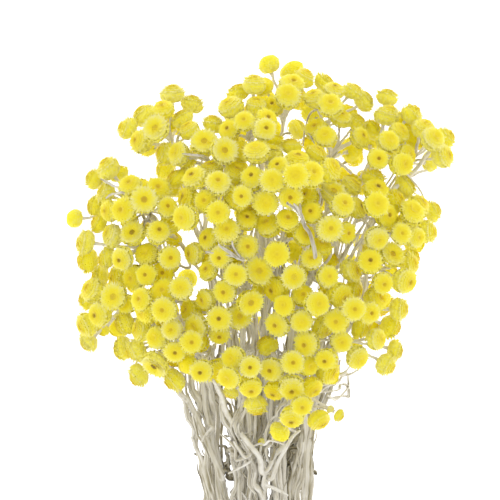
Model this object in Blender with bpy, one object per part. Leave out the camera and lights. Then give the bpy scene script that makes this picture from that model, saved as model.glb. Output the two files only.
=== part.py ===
"""A bunch of dried dwarf everlasting, laid down: leafy stems that end in sprays of papery heads.

Each spray is one solid: a crooked stem, its branches, pedicels, heads and clinging leaves. Work is in
millimetres. X runs across the bunch, Y along it from the cut ends to the crown, and Z up from the surface.
"""

import math

import bpy
import numpy as np

MM = 0.001
GOLDEN = math.pi * (3 - math.sqrt(5))
SEED = 4107

# The photo's scale, and where its middle line and highest head lie on the bunch
MM_PER_PIXEL = 0.375
AXIS_PIXEL = 262
CROWN_PIXEL = 57
CROWN_Y = 140.0
CUT_Y = -136.0

# The crown of heads is a cushion round this middle
CROWN_MIDDLE = np.array([0.0, 68.0, 35.0])
CROWN_HALF = np.array([73.0, 74.0, 36.0])
THROAT = np.array([0.0, -30.0, 21.0])
THROAT_SHRINK = np.array([0.26, 0.0, 0.36])
CUT_SHRINK = np.array([0.30, 0.0, 0.42])
CUT_MIDDLE_Z = 6.5
UPWARD = np.array([0.0, 0.2, 0.0])

HEAD_RADIUS = 4.35
HEAD_VARIES = 0.11
OPEN_HEAD_LARGER = 1.12
BRACTS = 5
TURNED_BRACTS = 4
TURNED = 0.55

# A head's levels and rings, as shares of its radius: the pedicel's end, the notches between the
# outer bracts, how far their tips hang, the inner bracts and the pit
HEAD_BASE = 0.62
NOTCH_RADIUS = 0.8
TIP_DROP = 0.14
INNER_RADIUS = 0.46
FLAT_HEIGHT = 0.64
PIT_HEIGHT = 0.44

# From a spray's fork to its heads, the stem's last stretch that the pedicels grow from, and the
# heads on the sides that the photo can't see
REACH = 18.0
REACH_VARIES = 1.0
LEAST_RISE = 2.0
BACK_REACH = 16.0
BACK_SPREAD = 1.0
BACK_SLOPE = 1.15
CROWN_STRETCH = 9.0
FIRST_ROOT = 0.06
ROOT_SPAN = 0.9
BACK_HEADS = 6
FAR_HEADS = 2
FAR_HEADS_INSIDE = 1
FAR_REACH = 16.0
FAR_SPREAD = 0.62
FAR_SLOPE = 0.7
RIM_FACING = 0.5
INSIDE_FACING = 0.62
LOWER_EDGE_FACING = -0.35

STEM_JOINTS = 8
STEM_RADIUS_CUT = 1.15
STEM_RADIUS_FORK = 0.78
STEM_CROOKED = 1.7
BOW = np.array([0.22, 0.5, 0.3])
CUT_STAGGER = np.array([5.0, 3.5, 1.5])
THROAT_STAGGER = np.array([4.0, 6.0, 2.5])
PEDICEL_RADIUS = 0.45
ROOT_ASIDE = 0.35
LEAF_LONG = 15.0
LEAF_THICK = 0.62
LEAF_ROOT = 0.3
LEAF_OFF = (1.9, 1.7)
FACE_FROM_ROOT = 0.55

# How strongly a fork and a head keep to their places, and the spacing between sprays and within one
FORK_PULL = 0.05
HEAD_PULL = 0.12
DEPTH_PULL = 0.25
CLEAR = 0.3
OWN_CLEAR = 0.1
HEAD_ROOM = 1.03
FLOOR_ROOM = 1.05
EASE = np.array([0.45, 0.45, 0.62])
ROUNDS = 700
SETTLING = 0.6
RENEW = 12
NEARBY = 4.0
LONGEST_MOVE = 1.2
STRAIGHTEN = 0.15
STRAIGHTEN_LATE = 0.03
HANG = 0.12

# Pixel places of the heads that the photo shows, spray by spray
SEEN_HEADS = {
    "top_left": ((130, 126), (144, 115), (165, 110), (175, 94), (190, 102), (157, 131), (144, 140)),
    "left_shoulder": (
        (190, 129), (183, 118), (214, 124), (167, 151), (181, 154), (207, 144), (223, 154), (240, 150),
    ),
    "centre_left_face": (
        (178, 178), (214, 167), (198, 181), (235, 175), (219, 188), (210, 202), (192, 214), (237, 199),
        (192, 197), (218, 212),
    ),
    "top_inner_left": (
        (240, 91), (233, 108), (254, 88), (257, 106), (262, 119), (248, 124), (233, 131), (264, 130),
    ),
    "top_middle": (
        (272, 65), (290, 68), (306, 77), (323, 81), (264, 84), (292, 84), (275, 105), (286, 98),
    ),
    "top_right_umbel": ((335, 91), (352, 91), (365, 99), (316, 99), (330, 106)),
    "right_inner": ((337, 117), (319, 129), (358, 120), (359, 137), (375, 129), (324, 137)),
    "right_shoulder": (
        (385, 98), (389, 115), (406, 122), (397, 135), (414, 134),
        (386, 143), (403, 151), (378, 158), (399, 162), (411, 116),
    ),
    "far_right_tip": ((429, 138), (446, 136), (441, 155), (422, 129)),
    "centre_top_left": (
        (264, 140), (272, 152), (261, 160), (254, 176), (274, 183), (244, 195), (266, 199),
    ),
    "centre_top_right": (
        (288, 147), (296, 162), (277, 165), (316, 155), (310, 175), (324, 172), (289, 195), (295, 178),
    ),
    "left_edge_upper": (
        (95, 178), (110, 172), (118, 172), (132, 188), (97, 206),
        (113, 209), (130, 210), (146, 201), (161, 192), (76, 216), (108, 189), (167, 205),
    ),
    "left_edge_middle": (
        (101, 223), (88, 244), (91, 258), (113, 235), (134, 234), (127, 254), (160, 232), (171, 224),
        (171, 256), (108, 251),
    ),
    "left_inner": ((147, 256), (139, 273), (150, 272), (164, 270), (120, 276), (99, 272)),
    "left_edge_lower": ((95, 290), (116, 295), (102, 311), (87, 298), (88, 324), (88, 338)),
    "left_lower_inner": ((164, 295), (177, 291), (169, 302), (150, 297), (147, 312), (127, 322)),
    "lower_left": (
        (144, 329), (161, 336), (137, 347), (157, 359), (139, 371), (125, 347), (177, 347), (191, 339),
        (172, 326),
    ),
    "low_left_front": ((175, 378), (189, 361), (205, 367), (217, 367)),
    "lower_front": ((233, 370), (251, 381), (249, 364), (235, 357), (256, 402)),
    "lower_middle": (
        (275, 367), (276, 386), (292, 384), (301, 394), (311, 381), (292, 359), (307, 361), (325, 370),
    ),
    "lowest": ((293, 411), (280, 428), (318, 416), (338, 414), (299, 399)),
    "centre_left": ((245, 218), (230, 232), (212, 239), (198, 252), (245, 245), (250, 216), (222, 252)),
    "centre_low_left": ((210, 267), (235, 274), (260, 270), (227, 288), (209, 297), (249, 299)),
    "middle_low_left": ((193, 311), (200, 324), (217, 329), (221, 315), (238, 314)),
    "right_centre": (
        (331, 183), (348, 186), (330, 192), (310, 199), (338, 206), (358, 206), (313, 213), (327, 224),
        (344, 231),
    ),
    "centre": ((268, 224), (286, 221), (302, 233), (276, 253)),
    "centre_low": (
        (296, 273), (278, 286), (310, 260), (325, 274), (349, 269), (337, 293), (353, 287), (319, 248),
    ),
    "right_middle_inner": (
        (373, 174), (375, 195), (373, 203), (392, 200), (404, 188), (387, 215), (375, 235),
    ),
    "right_middle_outer": ((413, 202), (407, 214), (399, 232), (413, 234), (425, 230), (432, 210)),
    "right_edge_lower": ((389, 254), (370, 260), (410, 258), (381, 280), (401, 277), (407, 263)),
    "right_low": ((373, 298), (367, 309), (397, 309), (390, 325), (349, 308), (337, 315)),
    "middle_low": ((285, 304), (313, 301), (299, 317), (280, 321), (323, 324), (362, 325), (301, 294)),
    "right_lowest": ((308, 343), (339, 340), (373, 336), (356, 354), (394, 349), (386, 361), (326, 353)),
}

# Heads that have opened flat, by the same pixel places
OPEN_HEADS = {
    (157, 131), (207, 144), (223, 154), (264, 140), (272, 152), (146, 201), (134, 234), (116, 295),
    (157, 359), (260, 270), (249, 299), (296, 273), (278, 286), (389, 254), (330, 192), (238, 314),
}

# Sprays that lie nearer the viewer or deeper than the cushion has them
LIFT = {
    "centre_top_left": 7.0,
    "centre_top_right": 7.0,
    "centre_left_face": 4.0,
    "far_right_tip": 8.0,
    "lower_front": 6.0,
    "lowest": 10.0,
    "top_middle": -6.0,
    "right_inner": -8.0,
    "left_inner": -6.0,
    "middle_low_left": -6.0,
}

# Sprays on the side that the bunch lies on, by the middle of their heads. The first few rest on the surface.
BACK_SPRAYS = {
    "under_left": (-40.0, 52.0),
    "under_right": (41.0, 57.0),
    "under_top_left": (-26.0, 98.0),
    "under_top_right": (28.0, 100.0),
    "under_top": (0.0, 116.0),
    "under_middle": (0.0, 72.0),
    "under_low": (2.0, 30.0),
}
RESTING = ("under_left", "under_right", "under_top_left", "under_top_right", "under_low")
BACK_Z = 12.0


def unit(v):
    return v / np.linalg.norm(v, axis=-1, keepdims=True)


def photo_place(pixel):
    """The place across and along the bunch that a pixel of the photo shows."""
    across = (pixel[0] - AXIS_PIXEL) * MM_PER_PIXEL
    along = CROWN_Y - (pixel[1] - CROWN_PIXEL) * MM_PER_PIXEL
    return across, along


def cushion(x, y):
    """Height and outward direction of the cushion of heads, over a place on the plan."""
    share = ((x - CROWN_MIDDLE[0]) / CROWN_HALF[0]) ** 2 + ((y - CROWN_MIDDLE[1]) / CROWN_HALF[1]) ** 2
    rise = math.sqrt(max(0.03, 1 - share))
    point = np.array([x, y, CROWN_MIDDLE[2] + CROWN_HALF[2] * rise])
    return point, unit((point - CROWN_MIDDLE) / CROWN_HALF + UPWARD)


def cone_places(fork, facing, count, reach, spread):
    """Heads set round an axis at equal turns, as on a corymb."""
    side = unit(np.cross(facing, [0.31, 0.2, 0.93]))
    other = np.cross(facing, side)
    places = []
    for k in range(count):
        lean = spread * math.sqrt((k + 0.5) / count)
        turn = k * GOLDEN
        way = math.cos(lean) * facing + math.sin(lean) * (math.cos(turn) * side + math.sin(turn) * other)
        places.append(fork + reach * way)
    return places


def seen_spray(name, pixels, rng):
    """A spray that the photo shows: where it forks, and its heads as (place, radius, open)."""
    plan = np.array([photo_place(pixel) for pixel in pixels])
    middle, facing = cushion(*plan.mean(axis=0))
    middle[2] += LIFT.get(name, 0.0)
    fork = middle - REACH * facing
    heads = []
    for pixel, (x, y) in zip(pixels, plan):
        off = math.hypot(x - fork[0], y - fork[1])
        rise = math.sqrt(max(LEAST_RISE**2, (REACH + 1) ** 2 - off**2))
        z = fork[2] + rise + REACH_VARIES * rng.uniform(-1, 1)
        opened = pixel in OPEN_HEADS
        radius = HEAD_RADIUS * (OPEN_HEAD_LARGER if opened else 1) * (1 + rng.uniform(-1, 1) * HEAD_VARIES)
        heads.append((np.array([x, y, z]), radius, opened))
    if facing[2] < INSIDE_FACING and facing[1] > LOWER_EDGE_FACING:
        away = unit(unit(facing * [1, 1, 0]) - [0, 0, FAR_SLOPE])
        count = FAR_HEADS if facing[2] < RIM_FACING else FAR_HEADS_INSIDE
        for place in cone_places(fork, away, count, FAR_REACH, FAR_SPREAD):
            heads.append((place, HEAD_RADIUS * (1 + rng.uniform(-1, 1) * HEAD_VARIES), False))
    return fork, heads


def back_spray(place, rng):
    """A spray on the side that the bunch lies on: where it forks, and its heads."""
    outward = (np.array(place) - CROWN_MIDDLE[:2]) / CROWN_HALF[:2]
    facing = unit(np.array([outward[0], outward[1], -BACK_SLOPE]))
    middle = np.array([place[0], place[1], BACK_Z])
    fork = middle - BACK_REACH * facing
    heads = []
    for place in cone_places(fork, facing, BACK_HEADS, BACK_REACH + 1, BACK_SPREAD):
        heads.append((place, HEAD_RADIUS * (1 + rng.uniform(-1, 1) * HEAD_VARIES), False))
    return fork, heads


def stem_line(fork, rng):
    """A crooked line from the cut end, through the bunch's throat, to the fork."""
    off = fork - CROWN_MIDDLE
    throat = THROAT + off * THROAT_SHRINK + THROAT_STAGGER * rng.uniform(-1, 1, 3)
    cut = np.array([0.0, CUT_Y, CUT_MIDDLE_Z]) + off * CUT_SHRINK
    cut += CUT_STAGGER * [rng.uniform(-1, 1), rng.uniform(0, 2), rng.uniform(-1, 1)]
    bow = throat + (fork - throat) * BOW
    t = np.linspace(0, 1, STEM_JOINTS)[:, None]
    line = (1 - t) ** 3 * cut + 3 * t * (1 - t) ** 2 * throat + 3 * t**2 * (1 - t) * bow + t**3 * fork
    crook = rng.normal(0, STEM_CROOKED, line.shape) * [1, 0.3, 1]
    crook[0] = crook[-1] = 0
    return line + crook


def stem_radii(count):
    return np.linspace(STEM_RADIUS_CUT, STEM_RADIUS_FORK, count)


class Bunch:
    """Every joint of the bunch as a point, and every stem, branch and head as a bar between two points."""

    def __init__(self):
        self.points, self.home, self.pull = [], [], []
        self.bars, self.roots, self.hung, self.sprays = [], [], [], []

    def point(self, place, pull):
        self.points.append(np.array(place, float))
        self.home.append(np.array(place, float))
        self.pull.append(pull)
        return len(self.points) - 1

    def add(self, name, fork, heads, rests, rng):
        number = len(self.sprays)
        middle = np.mean([head[0] for head in heads], axis=0)
        axis = unit(middle - fork)
        line = stem_line(fork, rng)
        stem = [self.point(p, 0.0) for p in line[:-1]]
        stem += [self.point(fork, FORK_PULL), self.point(fork + CROWN_STRETCH * axis, FORK_PULL)]
        for k, radius in enumerate(stem_radii(len(stem))[:-1]):
            self.bars.append((stem[k], stem[k + 1], radius, number))
        outermost_first = np.argsort([-np.linalg.norm(np.cross(head[0] - fork, axis)) for head in heads])
        spray = {"name": name, "stem": stem, "heads": [], "leaves": []}
        spray["leaves"].append(self.add_leaf(stem, number, rng))
        for rank, k in enumerate(outermost_first):
            place, radius, opened = heads[k]
            share = FIRST_ROOT + ROOT_SPAN * rank / (len(heads) - 1)
            root = self.point(fork + share * CROWN_STRETCH * axis, 0.0)
            centre = self.point(place, HEAD_PULL)
            self.bars.append((root, centre, PEDICEL_RADIUS, number))
            self.bars.append((centre, centre, radius * HEAD_ROOM, number))
            self.roots.append((root, stem[-2], stem[-1], share))
            spray["heads"].append(
                {"root": root, "centre": centre, "radius": radius, "open": opened, "flat": False}
            )
        if rests:
            lowest = min(spray["heads"], key=lambda head: self.points[head["centre"]][2])
            lowest["flat"] = True
        self.sprays.append(spray)

    def add_leaf(self, stem, number, rng):
        """A leaf that clings to the stem's lower half, as a root, a middle and a tip."""
        k = 1 + int(rng.integers(0, 3))
        start, way = self.points[stem[k]], self.points[stem[k + 1]] - self.points[stem[k]]
        along = unit(way)
        out = unit(np.cross(way, rng.normal(size=3)))
        root = self.point(start + LEAF_ROOT * way, 0.0)
        middle = self.point(self.points[root] + LEAF_LONG / 2 * along + LEAF_OFF[0] * out, 0.0)
        tip = self.point(self.points[root] + LEAF_LONG * along + LEAF_OFF[1] * out, 0.0)
        self.roots.append((root, stem[k], stem[k + 1], LEAF_ROOT))
        self.bars += [(root, middle, LEAF_THICK, number), (middle, tip, LEAF_THICK, number)]
        self.hung += [(middle, root), (tip, root)]
        return root, middle, tip


def nearest(p1, q1, p2, q2):
    """How far along each of two bars they come nearest each other."""
    d1, d2, r = q1 - p1, q2 - p2, p1 - p2
    a = (d1 * d1).sum(1) + 1e-9
    e = (d2 * d2).sum(1) + 1e-9
    b, c, f = (d1 * d2).sum(1), (d1 * r).sum(1), (d2 * r).sum(1)
    both = a * e - b * b
    s = np.clip(np.where(both > 1e-6, (b * f - c * e) / np.maximum(both, 1e-6), 0), 0, 1)
    t = np.clip((b * s + f) / e, 0, 1)
    s = np.clip((b * t - c) / a, 0, 1)
    return s, t


def space_out(bunch):
    """Moves joints until each spray is clear of the others, while heads keep near their places.

    Depth gives way more easily than the place on the plan, so the view from above stays as read.
    """
    points = np.array(bunch.points)
    home = np.array(bunch.home)
    pull = np.array(bunch.pull)[:, None] * [1.0, 1.0, DEPTH_PULL]
    ends = np.array([bar[:2] for bar in bunch.bars])
    radius = np.array([bar[2] for bar in bunch.bars])
    owner = np.array([bar[3] for bar in bunch.bars])
    is_head = ends[:, 0] == ends[:, 1]
    first, second = np.triu_indices(len(ends), 1)
    own_pedicel = (ends[first, 1] == ends[second, 0]) & is_head[second]
    same = owner[first] == owner[second]
    apart = ~same | ((is_head[first] | is_head[second]) & ~own_pedicel)
    first, second, same = first[apart], second[apart], same[apart]
    gap = np.where(same, OWN_CLEAR, CLEAR)
    wish = radius[first] + radius[second] + gap
    inner = np.array([p for spray in bunch.sprays for p in spray["stem"][1:-1]])
    bend = points[inner] - (points[inner - 1] + points[inner + 1]) / 2
    cut_ends = np.array([spray["stem"][0] for spray in bunch.sprays])
    centres = np.array([head["centre"] for spray in bunch.sprays for head in spray["heads"]])
    sizes = np.array([head["radius"] for spray in bunch.sprays for head in spray["heads"]])
    flat = np.array([head["flat"] for spray in bunch.sprays for head in spray["heads"]])
    roots, forks, tips = (np.array(column, int) for column in list(zip(*bunch.roots))[:3])
    hung, hooks = np.array(bunch.hung).T
    hang = points[hung] - points[hooks]
    shares = np.array([root[3] for root in bunch.roots])[:, None]
    floor = np.full(len(points), STEM_RADIUS_CUT)
    floor[centres] = sizes * FLOOR_ROOM
    for turn in range(ROUNDS):
        settling = turn < ROUNDS * SETTLING
        if turn % RENEW == 0:
            middle = (points[ends[:, 0]] + points[ends[:, 1]]) / 2
            size = np.linalg.norm(points[ends[:, 0]] - points[ends[:, 1]], axis=1) / 2
            room = np.linalg.norm(middle[first] - middle[second], axis=1) - size[first] - size[second]
            close = room < wish + NEARBY
        a, b = ends[first[close]], ends[second[close]]
        s, t = nearest(points[a[:, 0]], points[a[:, 1]], points[b[:, 0]], points[b[:, 1]])
        s, t = s[:, None], t[:, None]
        here = points[a[:, 0]] * (1 - s) + points[a[:, 1]] * s
        there = points[b[:, 0]] * (1 - t) + points[b[:, 1]] * t
        off = here - there
        far = np.linalg.norm(off, axis=1)
        short = wish[close] - far
        hit = short > 0
        push = off[hit] / np.maximum(far[hit], 1e-6)[:, None] * short[hit][:, None] * EASE
        move = np.zeros_like(points)
        for index, share in ((a[hit, 0], 1 - s[hit]), (a[hit, 1], s[hit])):
            np.add.at(move, index, push * share)
        for index, share in ((b[hit, 0], 1 - t[hit]), (b[hit, 1], t[hit])):
            np.add.at(move, index, -push * share)
        length = np.linalg.norm(move, axis=1, keepdims=True)
        points += move * np.minimum(1, LONGEST_MOVE / np.maximum(length, 1e-6))
        if settling:
            points += pull * (home - points)
        smooth = (points[inner - 1] + points[inner + 1]) / 2 + bend - points[inner]
        points[inner] += (STRAIGHTEN if settling else STRAIGHTEN_LATE) * smooth
        points[hung] += HANG * (points[hooks] + hang - points[hung])
        points[roots] = points[forks] * (1 - shares) + points[tips] * shares
        points[cut_ends, 1] = home[cut_ends, 1]
        points[:, 2] = np.maximum(points[:, 2], floor)
        points[centres[flat], 2] = sizes[flat] * FLAT_HEIGHT
    bunch.points = points


def centre_plan(bunch):
    """Brings the middle of the bunch's plan to the origin."""
    heads = [head for spray in bunch.sprays for head in spray["heads"]]
    places = bunch.points[[head["centre"] for head in heads]][:, :2]
    sizes = np.array([head["radius"] for head in heads])[:, None]
    cuts = bunch.points[[spray["stem"][0] for spray in bunch.sprays]][:, :2]
    low = np.minimum((places - sizes).min(axis=0), cuts.min(axis=0))
    high = np.maximum((places + sizes).max(axis=0), cuts.max(axis=0))
    bunch.points[:, :2] -= (low + high) / 2


def ring(centre, axis, radii, start, lift=0.0):
    """Points round an axis, one for each radius, from the direction nearest to start."""
    side = unit(start - axis * (start @ axis))
    other = np.cross(axis, side)
    turns = np.arange(len(radii)) * 2 * math.pi / len(radii)
    radii = np.array(radii)[:, None]
    lift = np.broadcast_to(lift, len(turns))[:, None]
    return centre + radii * (np.cos(turns)[:, None] * side + np.sin(turns)[:, None] * other) + lift * axis


def closed_shell(rings):
    """Vertices and triangles of one closed solid through rings of any counts, in order along its axis."""
    vertices = np.concatenate(rings)
    starts = np.cumsum([0] + [len(r) for r in rings])
    faces = []
    for n in range(len(rings) - 1):
        a, b, na, nb = starts[n], starts[n + 1], len(rings[n]), len(rings[n + 1])
        i = j = 0
        while i < na or j < nb:
            if na > 1 and i < na and (j >= nb or nb == 1 or (i + 1) / na < (j + 1) / nb - 1e-9):
                faces.append((a + i, a + (i + 1) % na, b + j % nb))
                i += 1
            elif nb > 1 and j < nb:
                faces.append((a + i % na, b + (j + 1) % nb, b + j))
                j += 1
            else:
                break
    for k in range(1, len(rings[0]) - 1):
        faces.append((0, k + 1, k))
    last = starts[-2]
    for k in range(1, len(rings[-1]) - 1):
        faces.append((last, last + k, last + k + 1))
    return vertices, faces


def head_shell(root, centre, face, radius, flat, turn, bracts):
    """A head with its pedicel: a papery cup of bract tips, an inner row of bracts and a pit."""
    base = centre - HEAD_BASE * radius * face
    along = unit(base - root)
    side = unit(np.cross(face, [0.4, 0.5, 0.77]))
    start = math.cos(turn) * side + math.sin(turn) * np.cross(face, side)
    outer = np.tile([NOTCH_RADIUS, 1.0], bracts) * radius
    heights = np.tile([0.0, -TIP_DROP], bracts) * radius
    rings = [
        ring(root - 0.5 * along, along, [PEDICEL_RADIUS] * 3, start),
        ring(base, unit(along + face), [PEDICEL_RADIUS] * 3, start),
        ring(centre, face, outer, start, heights),
        ring(centre, face, [INNER_RADIUS * radius] * bracts, start, FLAT_HEIGHT * radius),
    ]
    if not flat:
        rings.append((centre + PIT_HEIGHT * radius * face)[None])
    return closed_shell(rings)


def tube_shell(line, radii, sides):
    """A tube with plain ends along a line."""
    start = np.array([1.0, 0.0, 0.0])
    rings = []
    for place, way, radius in zip(line, unit(np.gradient(line, axis=0)), radii):
        start = unit(start - way * (start @ way))
        rings.append(ring(place, way, [radius] * sides, start))
    return closed_shell(rings)


def leaf_shell(root, middle, tip):
    """A narrow dry leaf: a thin three-sided blade that stands off the stem."""
    first, second = unit(middle - root), unit(tip - middle)
    out = unit(np.cross(np.cross(first, second), first) + [1e-6, 0, 0])
    return closed_shell(
        [
            ring(root - 0.5 * first, first, [0.9 * LEAF_THICK] * 3, out),
            ring(middle, unit(first + second), [LEAF_THICK] * 3, out),
            tip[None],
        ]
    )


def new_object(name, shell):
    """An object from a shell in millimetres."""
    mesh = bpy.data.meshes.new(name)
    mesh.from_pydata((shell[0] * MM).tolist(), [], shell[1])
    return bpy.data.objects.new(name, mesh)


def spray_shells(bunch, spray):
    """The stem first, then everything that grows from it."""
    points = bunch.points
    line = points[spray["stem"]]
    shells = [tube_shell(line, stem_radii(len(line)), 3)]
    axis = unit(line[-1] - line[-2])
    for head in spray["heads"]:
        root, centre = points[head["root"]], points[head["centre"]]
        aside = (centre - root) - axis * ((centre - root) @ axis)
        root = root + ROOT_ASIDE * unit(aside)
        bracts = BRACTS if head["face"][2] > TURNED else TURNED_BRACTS
        shells.append(
            head_shell(root, centre, head["face"], head["radius"], head["flat"], head["turn"], bracts)
        )
    for leaf in spray["leaves"]:
        shells.append(leaf_shell(*points[list(leaf)]))
    return shells


def set_faces(bunch, rng):
    """Turns each head away from its branch, and a little with its spray."""
    for spray in bunch.sprays:
        fork = bunch.points[spray["stem"][-2]]
        for head in spray["heads"]:
            centre = bunch.points[head["centre"]]
            own, spray_way = unit(centre - bunch.points[head["root"]]), unit(centre - fork)
            face = unit(FACE_FROM_ROOT * own + (1 - FACE_FROM_ROOT) * spray_way)
            head["face"] = np.array([0.0, 0.0, -1.0]) if head["flat"] else face
            head["turn"] = rng.uniform(0, 2 * math.pi)


def fuse(name, shells):
    """One solid from a spray's stem and all that grows from it."""
    stem = new_object(name, shells[0])
    bpy.context.scene.collection.objects.link(stem)
    grown = bpy.data.collections.new(name + "_grown")
    for n, shell in enumerate(shells[1:]):
        grown.objects.link(new_object(f"{name}_piece_{n}", shell))
    union = stem.modifiers.new("Union", "BOOLEAN")
    union.operation = "UNION"
    union.solver = "MANIFOLD"
    union.operand_type = "COLLECTION"
    union.collection = grown
    graph = bpy.context.evaluated_depsgraph_get()
    mesh = bpy.data.meshes.new_from_object(stem.evaluated_get(graph))
    stem.modifiers.clear()
    stem.data = mesh
    for obj in list(grown.objects):
        bpy.data.objects.remove(obj)
    bpy.data.collections.remove(grown)
    return stem


def paint(obj):
    """Gives a solid a plain material of its own."""
    material = bpy.data.materials.new(obj.name)
    material.use_nodes = True
    shader = material.node_tree.nodes["Principled BSDF"]
    shader.inputs["Base Color"].default_value = (0.78, 0.66, 0.08, 1)
    shader.inputs["Roughness"].default_value = 0.85
    obj.data.materials.clear()
    obj.data.materials.append(material)


def main():
    """Lays the whole bunch out, then fuses it spray by spray."""
    for obj in list(bpy.data.objects):
        bpy.data.objects.remove(obj)
    rng = np.random.default_rng(SEED)
    bunch = Bunch()
    for name, pixels in SEEN_HEADS.items():
        fork, heads = seen_spray(name, pixels, rng)
        bunch.add(name, fork, heads, False, rng)
    for name, place in BACK_SPRAYS.items():
        fork, heads = back_spray(place, rng)
        bunch.add(name, fork, heads, name in RESTING, rng)
    space_out(bunch)
    centre_plan(bunch)
    set_faces(bunch, rng)
    for spray in bunch.sprays:
        paint(fuse("spray_" + spray["name"], spray_shells(bunch, spray)))


main()
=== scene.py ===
"""The looks of a bunch of dried dwarf everlasting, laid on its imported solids.

Places are in millimetres, as in the solids' source: X across the bunch, Y from the cut ends to the crown,
Z up from the surface. Meshes are made in metres.
"""

import math

import bpy
import numpy as np
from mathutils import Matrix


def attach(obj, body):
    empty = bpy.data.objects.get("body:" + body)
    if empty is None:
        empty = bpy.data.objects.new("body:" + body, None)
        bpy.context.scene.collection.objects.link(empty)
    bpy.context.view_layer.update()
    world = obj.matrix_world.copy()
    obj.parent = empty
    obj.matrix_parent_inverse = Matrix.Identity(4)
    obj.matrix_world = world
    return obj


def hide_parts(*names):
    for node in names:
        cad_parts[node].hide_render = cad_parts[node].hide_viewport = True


MM = 0.001
GOLDEN = math.pi * (3 - math.sqrt(5))
FULL_TURN = 2 * math.pi
SEED = 4107
LOOK_SEED = 23

# The photo's scale, and where its middle line and highest head lie on the bunch
MM_PER_PIXEL = 0.375
AXIS_PIXEL = 262
CROWN_PIXEL = 57
CROWN_Y = 140.0
CUT_Y = -136.0

# The crown of heads is a cushion round this middle
CROWN_MIDDLE = np.array([0.0, 68.0, 35.0])
CROWN_HALF = np.array([73.0, 74.0, 36.0])
LEAST_HEIGHT = 0.03
THROAT = np.array([0.0, -30.0, 21.0])
THROAT_SHRINK = np.array([0.26, 0.0, 0.36])
CUT_SHRINK = np.array([0.30, 0.0, 0.42])
CUT_MIDDLE_Z = 6.5
UPWARD = np.array([0.0, 0.2, 0.0])

HEAD_RADIUS = 4.35
HEAD_VARIES = 0.11
OPEN_HEAD_LARGER = 1.12
# How far under a head its pedicel ends, and how high a head stands that faces the surface, in head radii
HEAD_BASE = 0.62
FLAT_HEIGHT = 0.64

# From a spray's fork to its heads, the stem's last stretch that the pedicels grow from, and the heads on
# the sides that the photo can't see
REACH = 18.0
REACH_VARIES = 1.0
LEAST_RISE = 2.0
BACK_REACH = 16.0
BACK_SPREAD = 1.0
BACK_SLOPE = 1.15
CROWN_STRETCH = 9.0
FIRST_ROOT = 0.06
ROOT_SPAN = 0.9
BACK_HEADS = 6
FAR_HEADS = 2
FAR_HEADS_INSIDE = 1
FAR_REACH = 16.0
FAR_SPREAD = 0.62
FAR_SLOPE = 0.7
RIM_FACING = 0.5
INSIDE_FACING = 0.62
LOWER_EDGE_FACING = -0.35
CONE_ASIDE = [0.31, 0.2, 0.93]

STEM_JOINTS = 8
STEM_RADIUS_CUT = 1.15
STEM_RADIUS_FORK = 0.78
STEM_CROOKED = 1.7
STEM_CROOKED_AXES = [1, 0.3, 1]
BOW = np.array([0.22, 0.5, 0.3])
CUT_STAGGER = np.array([5.0, 3.5, 1.5])
THROAT_STAGGER = np.array([4.0, 6.0, 2.5])
PEDICEL_RADIUS = 0.45
LEAF_LONG = 15.0
LEAF_THICK = 0.62
LEAF_ROOT = 0.3
LEAF_OFF = (1.9, 1.7)
FACE_FROM_ROOT = 0.55

# How strongly a fork and a head keep to their places, and the spacing between sprays and within one
FORK_PULL = 0.05
HEAD_PULL = 0.12
DEPTH_PULL = 0.25
CLEAR = 0.3
OWN_CLEAR = 0.1
HEAD_ROOM = 1.03
FLOOR_ROOM = 1.05
EASE = np.array([0.45, 0.45, 0.62])
ROUNDS = 700
SETTLING = 0.6
RENEW = 12
NEARBY = 4.0
LONGEST_MOVE = 1.2
STRAIGHTEN = 0.15
STRAIGHTEN_LATE = 0.03
HANG = 0.12
TINY = 1e-6
TINIEST = 1e-9

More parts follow.
